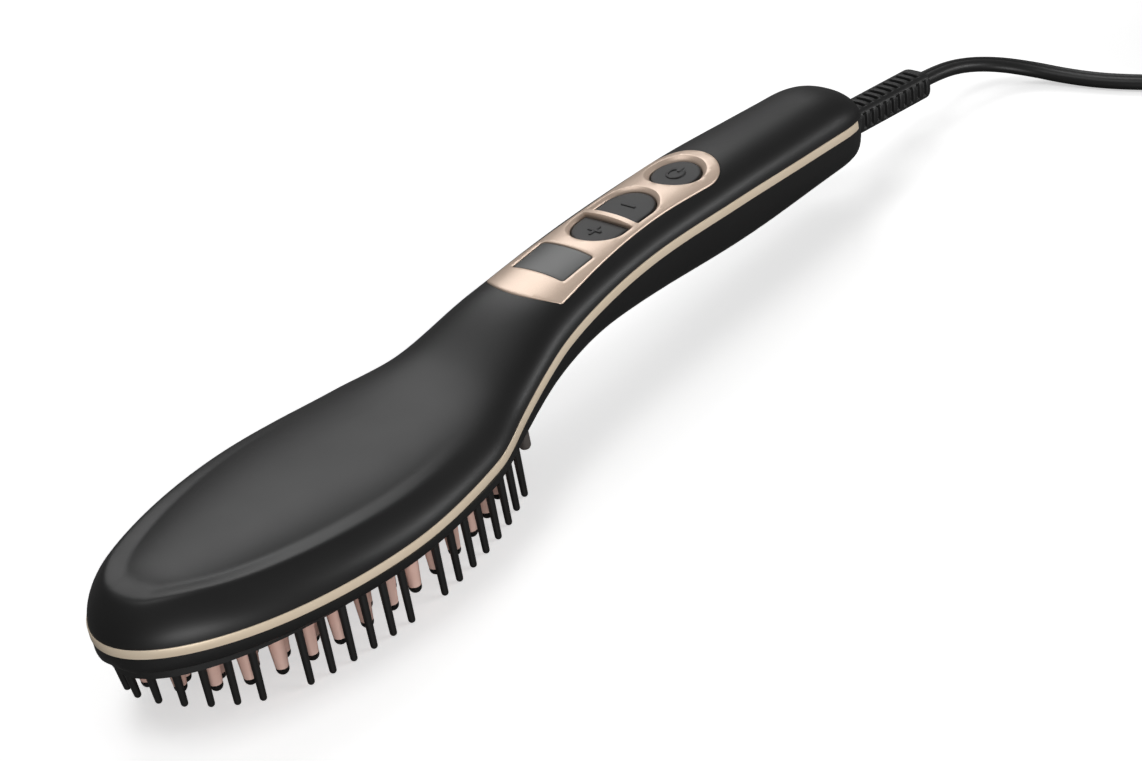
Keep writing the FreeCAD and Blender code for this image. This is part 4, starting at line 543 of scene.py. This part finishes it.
def solderMask():
    # green solder mask with paler tracks
    made = Finish("solderMask", {"IOR": 1.5, "Coat Weight": 0.3, "Coat Roughness": 0.2})
    tracks = made.node("ShaderNodeTexWave", {"bands_direction": "Y"},
                       {"Vector": made.where, "Scale": 320.0, "Distortion": 3.0, "Detail": 1.0},
                       "Fac")
    line = (tracks * 4.0 - 2.6).clamped()
    made.feed("Base Color", made.between(line, (0.010, 0.085, 0.030), (0.03, 0.17, 0.07)))
    made.feed("Roughness", 0.30 + tracks * 0.08)
    made.bump(tracks, 0.00003, 0.3)
    return made.material


# slot: name, dark tone, light tone, roughness, its spread, scale and depth of the grain
stocks = {
    "key_rubber": ("keyRubber", (0.016, 0.016, 0.0165), (0.022, 0.022, 0.0225),
                   0.46, 0.06, 3800, 0.00002),
    "bristle": ("bristleNylon", (0.008, 0.0078, 0.0075), (0.013, 0.0125, 0.012),
                0.36, 0.06, 2600, 0.00002),
    "comb": ("combPlastic", (0.009, 0.009, 0.009), (0.013, 0.0125, 0.0125),
             0.44, 0.05, 2600, 0.00003),
    "pin_cap": ("capGloss", (0.006, 0.006, 0.006), (0.010, 0.010, 0.010),
                0.12, 0.03, 1200, 0.000008,
                {"Coat Weight": 0.5, "Coat Roughness": 0.08}),
    "ceramic": ("ceramicWhite", (0.62, 0.60, 0.55), (0.72, 0.70, 0.66),
                0.35, 0.06, 1800, 0.00002),
    "mica": ("micaSheet", (0.34, 0.27, 0.18), (0.48, 0.41, 0.30),
             0.30, 0.12, 300, 0.00004),
    "inner_plastic": ("heatPlastic", (0.06, 0.06, 0.065), (0.085, 0.085, 0.09),
                      0.52, 0.05, 1500, 0.00004),
    "stem": ("stemPlastic", (0.03, 0.03, 0.03), (0.045, 0.045, 0.045),
             0.45, 0.05, 1500, 0.00002),
    "display": ("digitBlock", (0.012, 0.012, 0.013), (0.018, 0.018, 0.019),
                0.22, 0.05, 900, 0.00001),
    "component": ("mouldedPart", (0.04, 0.04, 0.055), (0.06, 0.06, 0.075),
                  0.35, 0.05, 1400, 0.00003),
    "nozzle": ("nozzleSatin", (0.075, 0.065, 0.060), (0.11, 0.098, 0.09),
               0.40, 0.06, 1800, 0.00002),
    "wire": ("siliconeWire", (0.22, 0.02, 0.015), (0.32, 0.035, 0.025),
             0.48, 0.05, 1500, 0.00002),
    "swivel": ("swivelSatin", (0.008, 0.008, 0.008), (0.012, 0.012, 0.012),
               0.40, 0.05, 2400, 0.00003),
    "cord": ("cordVinyl", (0.006, 0.006, 0.006), (0.010, 0.010, 0.010),
             0.38, 0.07, 1900, 0.00004),
}
# slot: name, dark tone, light tone, roughness, and the lines' stretch where they aren't lengthwise
metals = {
    "steel": ("zincSteel", (0.45, 0.45, 0.46), (0.58, 0.58, 0.60), 0.28),
    "can": ("aluminiumCan", (0.52, 0.52, 0.54), (0.66, 0.66, 0.68), 0.30, (14.0, 14.0, 1.0)),
    "brass": ("ringBrass", (0.52, 0.36, 0.14), (0.68, 0.50, 0.22), 0.24),
    "plug_metal": ("pinNickel", (0.55, 0.54, 0.52), (0.68, 0.67, 0.65), 0.20),
}
finishes = {"shell": softTouch(), "panel": roseGold(), "rose_trim": trimGold(),
            "lens": smokedLens(), "pin_metal": pinCopperPaintedShade(), "board": solderMask()}
finishes.update({slot: grained(*row) for slot, row in stocks.items()})
finishes.update({slot: brushed(*row) for slot, row in metals.items()})
slotOf = {part["node"]: part["material_slot"] for part in frame["record"]["subparts"]}
for name, obj in frame["nodes"].items():
    obj.data.materials.clear()
    obj.data.materials.append(finishes[slotOf[name]])
print("materials ready", len(finishes))


def cordProfile():
    # a flat oval with a groove along each broad side
    half, flat = cord["width"] / 2000, cord["thick"] / 2000
    groove, grooveHalf = cord["groove"] / 1000, cord["grooveHalf"] / 1000
    profile = []
    for side in (1, -1):
        for k in range(cord["roundSteps"] + 1):
            turn = math.radians(-90 + 180 * k / cord["roundSteps"])
            profile.append((side * (half - flat + flat * math.cos(turn)),
                            side * flat * math.sin(turn)))
        profile += [(side * grooveHalf, side * flat), (0.0, side * (flat - groove)),
                    (-side * grooveHalf, side * flat)]
    return profile


def makeCord():
    path = splineOf(cordRoute)
    profile = cordProfile()
    last = len(path) - 1
    bm = bmesh.new()
    bmesh.ops.create_grid(bm, x_segments=last, y_segments=len(profile), size=1)
    reach = max(v.co.x for v in bm.verts)
    for vert in bm.verts:
        i = round((vert.co.x / reach + 1) / 2 * last)
        j = round((vert.co.y / reach + 1) / 2 * len(profile)) % len(profile)
        heading = (path[min(i + 1, last)] - path[max(i - 1, 0)]).normalized()
        across = heading.cross(Vector((0, 0, 1))).normalized()
        over = across.cross(heading)
        vert.co = path[i] + across * profile[j][0] + over * profile[j][1]
    bmesh.ops.remove_doubles(bm, verts=bm.verts, dist=cord["seam"] / 1000)
    closeHoles(bm)
    bmesh.ops.recalc_face_normals(bm, faces=bm.faces)
    obj = piece(bm, "flatCord", "brush", "cord", 50, ["mains_cord", "cord_coil"])


makeCord()
print("cord made")

# the floor looks white, and throws back less than it shows, so the brush stays dark beneath
studio = {"floorHalf": 6, "floorLevel": -0.0002, "seen": (0.94, 0.94, 0.94),
          "thrown": (0.22, 0.22, 0.22), "glow": 0.55, "sky": 0.16}


def makeStage():
    data = bpy.data.meshes.new("floor")
    bm = bmesh.new()
    bmesh.ops.create_grid(bm, x_segments=1, y_segments=1, size=studio["floorHalf"])
    bm.to_mesh(data)
    bm.free()
    floor = bpy.data.objects.new("floor", data)
    floor.location = (0, 0, studio["floorLevel"])
    made = Finish("studioFloor", {"Roughness": 0.9, "Specular IOR Level": 0.1,
                                  "Emission Strength": studio["glow"]})
    direct = made.node("ShaderNodeLightPath")
    made.feed("Base Color", made.between(direct, studio["thrown"], studio["seen"]))
    made.feed("Emission Color", made.between(direct, (0.0, 0.0, 0.0), (1.0, 1.0, 1.0)))
    data.materials.append(made.material)
    scene.collection.objects.link(floor)
    world = bpy.data.worlds.new("studio")
    world.use_nodes = True
    sky = world.node_tree.nodes["Background"].inputs
    sky["Color"].default_value = (1, 1, 1, 1)
    sky["Strength"].default_value = studio["sky"]
    scene.world = world
    scene.view_settings.view_transform = "Standard"


def softbox(name, at, towards, width, height, power):
    data = bpy.data.lights.new(name, "AREA")
    data.shape = "RECTANGLE"
    data.size, data.size_y, data.energy = width, height, power
    light = bpy.data.objects.new(name, data)
    light.location = at
    light.rotation_euler = (Vector(towards) - Vector(at)).to_track_quat("-Z", "Y").to_euler()
    scene.collection.objects.link(light)


makeStage()
softbox("overhead", (-0.3, 0.2, 1.2), (0, 0, 0), 0.6, 0.5, 3.0)
softbox("back", (0.95, 1.0, 1.15), (0, 0, 0), 1.0, 0.8, 8.5)
softbox("front", (-0.8, -0.95, 0.08), (-0.08, 0, 0.02), 0.6, 0.12, 6.5)
softbox("side", (0.62, -0.84, 0.30), (0, 0, 0.02), 0.7, 0.12, 4.0)
print("stage and lights set")

# the top cover, with a soft crease that follows the head's rim
cover = {"wall": 2.0, "edge": 1.3, "seam": 0.004, "firstX": 0.115, "noseEnd": 40, "noseSteps": 34,
         "bodySteps": 110, "tailSteps": 14, "endRows": 5, "across": 96,
         "lift": 2.0, "liftFade": (14.0, 120.0), "liftRoom": 3.0, "liftPower": 1.15,
         "crease": 6.5, "outerWidth": 6.0, "innerWidth": 6.5,
         "narrowing": 0.45, "narrowX": 90, "soft": 0.5, "angle": 40}


def stationsOf(noseEnd, slantX, length):
    # close steps at the nose and at the end, even ones between
    nose, body, tail = cover["noseSteps"], cover["bodySteps"], cover["tailSteps"]
    stations = [noseEnd * (i / nose) ** 2 for i in range(nose + 1)]
    stations += [noseEnd + (slantX - noseEnd) * i / body for i in range(1, body + 1)]
    stations += [slantX + (length - slantX) * math.sin(math.pi / 2 * i / tail)
                 for i in range(1, tail + 1)]
    return stations


bodyStations = stationsOf(cover["noseEnd"], form["slantX"], form["length"])


def rimInset(x, y):
    # distance in from the head's outline
    if x < form["wideX"]:
        w = form["halfWidth"]
        t = (form["wideX"] - x) / form["wideX"]
        q = (y / w) ** 2 + t ** form["nosePower"]
        slopeX = form["nosePower"] * max(t, 1e-4) ** (form["nosePower"] - 1) / form["wideX"]
    else:
        w = halfWidth(x)
        q = (y / w) ** 2
        slopeX = 2 * y * y / w ** 3 * (halfWidth(x + 0.5) - halfWidth(x - 0.5))
    root = max(math.sqrt(q), 0.02)
    slope = math.hypot(slopeX, 2 * y / w ** 2)
    return 2 * root * (1 - root) / max(slope, 2 * root / form["wideX"])


def creaseLift(x, y):
    # a soft raised line that follows the rim of the head and fades rearwards
    near, end = cover["liftFade"]
    share = min(1.0, max(0.0, (x - near) / (end - near)))
    tall = cover["lift"] * (1 - share * share * (3 - 2 * share))
    off = rimInset(x, y) - cover["crease"]
    inner = cover["innerWidth"] * (1 - cover["narrowing"] * min(1, x / cover["narrowX"]))
    width = cover["outerWidth"] if off < 0 else inner
    q = math.sqrt(off ** 2 + cover["soft"] ** 2) - cover["soft"]
    return tall * max(0.0, 1 - q / width) ** cover["liftPower"]


def coverPoint(u, v):
    # the columns after the last station close the end face
    last = len(bodyStations) - 1
    column = u * (last + cover["endRows"])
    closing = max(0.0, column - last) / cover["endRows"]
    x = max(along(bodyStations, min(1.0, column / last)), cover["firstX"])
    height = crown(x)
    start = math.asin(min(1.0, (cover["edge"] / height)) ** (form["crownPower"] / 2))
    turn = start + (math.pi - 2 * start) * v
    c = math.cos(turn)
    y = -halfWidth(x) * math.copysign(abs(c) ** (2 / form["crownPower"]), c)
    z = trimLevel(x) + height * math.sin(turn) ** (2 / form["crownPower"])
    lift = creaseLift(x, y) * min(1.0, (z - trimLevel(x) - cover["edge"]) / cover["liftRoom"])
    y, z = y * (1 - closing), z + (trimLevel(x) + cover["edge"] - z) * closing
    return Vector((x + tailShift(x, z), y, z + lift))


# outline of the control plate, which the cover's opening shares; the waist is the
# plate's half width along its length, a little narrower beside the keys
plate = {"arcs": [(226.0, 0.0, 12.5, -90, 90, 64), (160.48, 11.5, 1.0, 90, 151, 8),
                  (175.1, 0.0, 19.6, 142.6, 217.4, 24), (160.48, -11.5, 1.0, 209, 270, 8)],
         "half": 12.5,
         "waist": [(150.0, 14.1), (163.0, 13.4), (178.0, 12.1), (192.0, 11.3),
                   (208.0, 11.1), (226.0, 12.0), (240.0, 12.5)],
         "gap": 0.15, "cutFrom": -5, "cutHigh": 60}


def waisted(arcs, grow):
    return [(x, y * smooth(plate["waist"], x) / plate["half"]) for x, y in ringPoints(arcs, grow)]


def plateOpening():
    bm = bmesh.new()
    ring = ringEdges(bm, waisted(plate["arcs"], plate["gap"]), plate["cutFrom"])
    face = bmesh.ops.contextual_create(bm, geom=ring)["faces"]
    moved = bmesh.ops.extrude_face_region(bm, geom=face)["geom"]
    raised = [g for g in moved if isinstance(g, bmesh.types.BMVert)]
    bmesh.ops.translate(bm, verts=raised, vec=(0, 0, plate["cutHigh"]))
    bmesh.ops.recalc_face_normals(bm, faces=bm.faces)
    toFrame(bm)
    mesh = bpy.data.meshes.new("opening")
    bm.to_mesh(mesh)
    bm.free()
    return mesh


def makeCover():
    bm = skin(len(bodyStations) - 1 + cover["endRows"], cover["across"], coverPoint)
    outwards(bm, cover["seam"])
    highest = max(bm.faces, key=lambda f: f.calc_center_median().z)
    if highest.normal.z < 0:
        bmesh.ops.reverse_faces(bm, faces=bm.faces)
    bmesh.ops.solidify(bm, geom=bm.faces[:], thickness=cover["wall"])
    toFrame(bm)
    obj = piece(bm, "topCover", "brush", "shell", cover["angle"], ["top_cover"])
    cutOut(obj, plateOpening())
    shade(obj.data, cover["angle"])


makeCover()
print("cover made")

# the trim strip between the two mouldings
trim = {"half": 1.3, "proud": 0.25, "deep": 1.4, "end": 290.5, "round": 0.15, "seam": 0.002,
        "probe": 0.05, "probeEnd": 292, "tip": 0.02}


def trimPoint(stations, profile):
    # the stations run from the tail round the nose and back
    def point(u, v):
        x, side = along(stations, u), 1 if u > 0.5 else -1
        ahead, behind = min(x + trim["probe"], trim["probeEnd"]), max(x - trim["probe"], 0)
        if x < trim["tip"]:
            out = Vector((-1, 0))
        else:
            out = Vector((-(halfWidth(ahead) - halfWidth(behind)) * side, ahead - behind)) * side
            out.normalize()
        offset, height = profile[round(v * (len(profile) - 1))]
        return Vector((x + out.x * offset, halfWidth(x) * side + out.y * offset,
                       trimLevel(x) + height))
    return point


def makeTrim():
    xs = [x for x in bodyStations if x <= trim["end"]] + [trim["end"]]
    stations = xs[::-1] + xs[1:]
    half, proud, deep, r = trim["half"], trim["proud"], trim["deep"], trim["round"]
    upper = [(proud, half - r), (proud - 0.3 * r, half - 0.3 * r), (proud - r, half), (-deep, half)]
    profile = [(offset, -height) for offset, height in reversed(upper)] + [(proud, 0)] + upper
    bm = skin(len(stations) - 1, len(profile) - 1, trimPoint(stations, profile))
    outwards(bm, trim["seam"])
    toFrame(bm)
    piece(bm, "trimStrip", "brush", "rose_trim", 40, ["trim_band"])


makeTrim()
print("trim made")

# the control plate with its openings, the window and the keys
panel = {"proud": 0.25, "gap": 0.3, "bridgeX": 197.2, "bridge": 1.9,
         "displayX": 172.7, "displayHalf": (6.6, 9.2), "displayCorner": 1.0, "lensProud": 0.02,
         "keysFront": 184.3, "keysRear": 213.0, "keysHalf": 8.3, "keyCorner": 0.4,
         "powerX": 226.0, "powerRadius": 7.25, "cornerSteps": 6, "endSteps": 54, "powerSteps": 96,
         # from the bridge, how far its own lips reach, and where the keys' lips are whole
         "bridgeLips": 0.5, "keyLips": 2.2,
         "step": 1.4, "low": (154, -14.5), "high": (240, 14.5),
         "lensStep": 1.5, "lensLow": (160, -10), "lensHigh": (182, 10)}
# each lip is a profile of (grow, height) steps down into the opening
lips = {
    "display": [(0.25, 0), (0.12, -0.08), (0.05, -0.25), (0.05, -1.6)],
    "power": [(1.5, 0), (1.3, -0.08), (0.5, -0.95), (0.1, -1.35), (0.0, -1.6), (0.0, -2.6)],
    "key": [(1.15, 0.0), (0.95, -0.07), (0.35, -0.75), (0.06, -1.1), (0.0, -1.35), (0.0, -2.4)],
    "bridge": [(0.12, 0.0), (0.06, -0.04), (0.0, -0.12), (0.0, -1.1), (0.0, -1.35), (0.0, -2.4)],
    "plate": [(-0.4, 0), (-0.22, -0.06), (-0.06, -0.22), (0.0, -0.45), (0.0, -2.0)],
    "lens": [(-0.45, 0.0), (-0.2, -0.03), (-0.1, -0.12), (-0.1, -1.5)],
}


def boxArcs(x, y, halfX, halfY, r, steps):
    return [(x + halfX - r, y - halfY + r, r, -90, 0, steps),
            (x + halfX - r, y + halfY - r, r, 0, 90, steps),
            (x - halfX + r, y + halfY - r, r, 90, 180, steps),
            (x - halfX + r, y - halfY + r, r, 180, 270, steps)]


def halfStadiumArcs(squareX, endX, half, r):
    # round at endX, square with small corners at squareX
    turns, steps = panel["endSteps"], panel["cornerSteps"]
    if endX > squareX:
        return [(endX - half, 0, half, -90, 90, turns), (squareX + r, half - r, r, 90, 180, steps),
                (squareX + r, -(half - r), r, 180, 270, steps)]
    return [(endX + half, 0, half, 90, 270, turns), (squareX - r, -(half - r), r, 270, 360, steps),
            (squareX - r, half - r, r, 0, 90, steps)]


displayArcs = boxArcs(panel["displayX"], 0, *panel["displayHalf"], panel["displayCorner"],
                      panel["cornerSteps"])
bridgeRear = panel["bridgeX"] + panel["bridge"] / 2
bridgeFront = panel["bridgeX"] - panel["bridge"] / 2
plusArcs = halfStadiumArcs(bridgeFront, panel["keysFront"], panel["keysHalf"], panel["keyCorner"])
minusArcs = halfStadiumArcs(bridgeRear, panel["keysRear"], panel["keysHalf"], panel["keyCorner"])
powerArcs = [(panel["powerX"], 0, panel["powerRadius"] + panel["gap"], 0, 360, panel["powerSteps"])]


def onSurface(bm, proud):
    for vert in bm.verts:
        x, y, z = vert.co
        vert.co = place(x, y, surfaceZ(x, y) + proud + z)


def keyWall(bm, arcs, inner):
    # the wide lip round a key turns into the bridge's narrow one at the key's inner side
    rings = []
    for (grow, z), (thin, _) in zip(lips["key"], lips["bridge"]):
        points = []
        for (x, y), (bridgeX, _) in zip(ringPoints(arcs, grow), ringPoints(arcs, thin)):
            away = abs(bridgeX - inner)
            if away < panel["bridgeLips"]:
                x = bridgeX
            elif away < panel["keyLips"]:
                x += (bridgeX - x) * (1 - away / panel["keyLips"])
            points.append((x, y))
        rings.append(ringEdges(bm, points, z))
    return bridged(bm, rings)


def makePanel():
    bm = bmesh.new()
    edges = ringWall(bm, displayArcs, lips["display"]) + ringWall(bm, powerArcs, lips["power"])
    edges += keyWall(bm, plusArcs, bridgeFront) + keyWall(bm, minusArcs, bridgeRear)
    edges += ringWall(bm, plate["arcs"], lips["plate"], waisted)
    fillTop(bm, edges)
    sliceFlat(bm, panel["step"], panel["low"], panel["high"])
    bmesh.ops.recalc_face_normals(bm, faces=bm.faces)
    onSurface(bm, panel["proud"])
    piece(bm, "controlPanel", "brush", "panel", 45, ["control_panel"])


def makeWindow():
    bm = bmesh.new()
    fillTop(bm, ringWall(bm, displayArcs, lips["lens"]))
    sliceFlat(bm, panel["lensStep"], panel["lensLow"], panel["lensHigh"])
    bmesh.ops.recalc_face_normals(bm, faces=bm.faces)
    onSurface(bm, panel["lensProud"])
    piece(bm, "displayLens", "brush", "lens", 40, ["display_window"])


# tops are levels in the drawing, and follow half of the cover's curve across
keys = {"top": 17.5, "powerTop": 16.6, "deep": 4.0, "step": 1.5, "follow": 0.5,
        # the edge's rounding, in shares of its size: outwards, up
        "edge": 0.6, "rounding": [(-1, 0), (-0.3, -0.18), (-0.05, -0.65), (0, -1.1)],
        # a raised sign's sides: how far out, and the share of its height
        "signSides": [(-0.14, 1), (-0.04, 0.8), (0.0, 0.45)], "signFoot": 0.03,
        "markHigh": 0.28, "crossHigh": 0.27, "markSunk": 0.3, "markCorner": 0.35, "markSteps": 4,
        "plusHalf": 2.4, "minusHalf": 2.6, "barHalf": 0.5, "markShift": 0.3}


def onKey(bm, top, shift=0.0):
    for vert in bm.verts:
        x, y, z = vert.co
        x += shift
        vert.co = place(x, y, top + z + keys["follow"] * (surfaceZ(x, y) - surfaceZ(x, 0)))


def keyCap(name, arcs, top, body, node):
    bm = bmesh.new()
    gap, edge = panel["gap"], keys["edge"]
    profile = [(out * edge - gap, up * edge) for out, up in keys["rounding"]]
    profile.append((-gap, -keys["deep"]))
    fillTop(bm, ringWall(bm, arcs, profile))
    low = [min(v.co[k] for v in bm.verts) for k in range(2)]
    high = [max(v.co[k] for v in bm.verts) for k in range(2)]
    sliceFlat(bm, keys["step"], low, high)
    bmesh.ops.recalc_face_normals(bm, faces=bm.faces)
    onKey(bm, top)
    piece(bm, name, body, "key_rubber", 50, [node])


def symbolBar(name, x, halfX, halfY, high, body):
    bm = bmesh.new()
    arcs = boxArcs(x, 0, halfX, halfY, keys["markCorner"], keys["markSteps"])
    profile = [(out, high * share) for out, share in keys["signSides"]]
    profile.append((keys["signFoot"], -keys["markSunk"]))
    fillTop(bm, ringWall(bm, arcs, profile))
    bmesh.ops.recalc_face_normals(bm, faces=bm.faces)
    onKey(bm, keys["top"])
    piece(bm, name, body, "key_rubber", 45)


powerSign = {"radius": 2.45, "half": 0.42, "bevel": 0.12, "shoulder": 0.16, "gap": 34, "steps": 44,
             "barX": 2.3, "barHalf": 1.35}


def powerMark():
    # a broken ring and a bar in its gap, spun round the key's middle
    bm = bmesh.new()
    high, sunk, shoulder = keys["markHigh"], -keys["markSunk"], powerSign["shoulder"]
    near, far = powerSign["radius"] - powerSign["half"], powerSign["radius"] + powerSign["half"]
    bevel, gap = powerSign["bevel"], math.radians(powerSign["gap"])
    section = [(near, sunk), (near, shoulder), (near + bevel, high),
               (far - bevel, high), (far, shoulder), (far, sunk)]
    start = [bm.verts.new((r * math.cos(gap), r * math.sin(gap), z)) for r, z in section]
    edges = [bm.edges.new((start[i - 1], start[i])) for i in range(len(start))]
    face = bmesh.ops.contextual_create(bm, geom=edges)["faces"]
    bmesh.ops.spin(bm, geom=face, cent=(0, 0, 0), axis=(0, 0, 1), dvec=(0, 0, 0),
                   angle=2 * math.pi - 2 * gap, steps=powerSign["steps"],
                   use_merge=False, use_duplicate=False)
    closeHoles(bm)
    bar = boxArcs(powerSign["barX"], 0, powerSign["barHalf"], powerSign["half"],
                  keys["markCorner"], keys["markSteps"])
    fillTop(bm, ringWall(bm, bar, [(-bevel, high), (0.0, shoulder), (0.0, sunk)]))
    bmesh.ops.recalc_face_normals(bm, faces=bm.faces)
    onKey(bm, keys["powerTop"], panel["powerX"])
    piece(bm, "powerMark", "power_key", "key_rubber", 45)


def makeKeys():
    keyCap("plusKey", plusArcs, keys["top"], "plus_key", "plus_button")
    keyCap("minusKey", minusArcs, keys["top"], "minus_key", "minus_button")
    keyCap("powerKey", powerArcs, keys["powerTop"], "power_key", "power_button")
    plusX = (panel["keysFront"] + bridgeFront) / 2 + keys["markShift"]
    minusX = (panel["keysRear"] + bridgeRear) / 2 - keys["markShift"]
    plusHalf, barHalf = keys["plusHalf"], keys["barHalf"]
    symbolBar("plusMark", plusX, barHalf, plusHalf, keys["markHigh"], "plus_key")
    symbolBar("plusMarkCross", plusX, plusHalf, barHalf, keys["crossHigh"], "plus_key")
    symbolBar("minusMark", minusX, barHalf, keys["minusHalf"], keys["markHigh"], "minus_key")
    powerMark()


makePanel()
makeWindow()
makeKeys()
print("panel made")

# the cord boot, with staggered slots in its four faces
sleeve = {"start": 5.0, "end": cord["bootEnd"], "wide": 10.6, "high": 8.6, "squareness": 3.2,
          "pitch": 3.3, "first": 7.1, "slots": 11, "slot": 1.50, "soft": 0.40, "depth": 1.25,
          "stagger": 0.4, "cornerBand": 0.52, "bandSoft": 0.16, "roundEnd": 1.8,
          "rings": 320, "sides": 72, "seam": 0.002}


def slotDepth(s, turn):
    # slots lie on the four faces, and smooth bands are left at the corners
    face = (abs(math.cos(2 * turn)) - sleeve["cornerBand"]) / sleeve["bandSoft"]
    face = min(1.0, max(0.0, face))
    onSide = abs(math.cos(turn)) > math.sqrt(0.5)
    past = s - sleeve["first"] - (sleeve["stagger"] * sleeve["pitch"] if onSide else 0.0)
    count = math.floor(past / sleeve["pitch"] + 0.5)
    if not 0 <= count < sleeve["slots"]:
        return 0.0
    away = abs(past - count * sleeve["pitch"]) - sleeve["slot"] / 2
    edge = min(1.0, max(0.0, 0.5 - away / sleeve["soft"]))
    return sleeve["depth"] * face * edge * edge * (3 - 2 * edge)


def sleevePoint(u, v):
    s = sleeve["start"] + (sleeve["end"] - sleeve["start"]) * u
    turn = 2 * math.pi * v
    power = 2 / sleeve["squareness"]
    c, d = math.cos(turn), math.sin(turn)
    y = sleeve["wide"] / 2 * math.copysign(abs(c) ** power, c)
    z = sleeve["high"] / 2 * math.copysign(abs(d) ** power, d)
    late = max(0.0, s - sleeve["end"] + sleeve["roundEnd"]) / sleeve["roundEnd"]
    inward = slotDepth(s, turn) + sleeve["roundEnd"] * (1 - math.sqrt(max(0.0, 1 - late ** 2)))
    left = 1 - inward / math.hypot(y, z)
    y, z = y * left, z * left
    x, _, base = alongAxis(s)
    return Vector((x + z * math.sin(swivelTurn), y, base + z * math.cos(swivelTurn)))


def makeSleeve():
    bm = skin(sleeve["rings"], sleeve["sides"], sleevePoint)
    bmesh.ops.remove_doubles(bm, verts=bm.verts, dist=sleeve["seam"])
    closeHoles(bm)
    bmesh.ops.recalc_face_normals(bm, faces=bm.faces)
    toFrame(bm)
    piece(bm, "cordSleeve", "cord_swivel", "cord", 110, ["cord_boot"])


makeSleeve()
print("sleeve made")
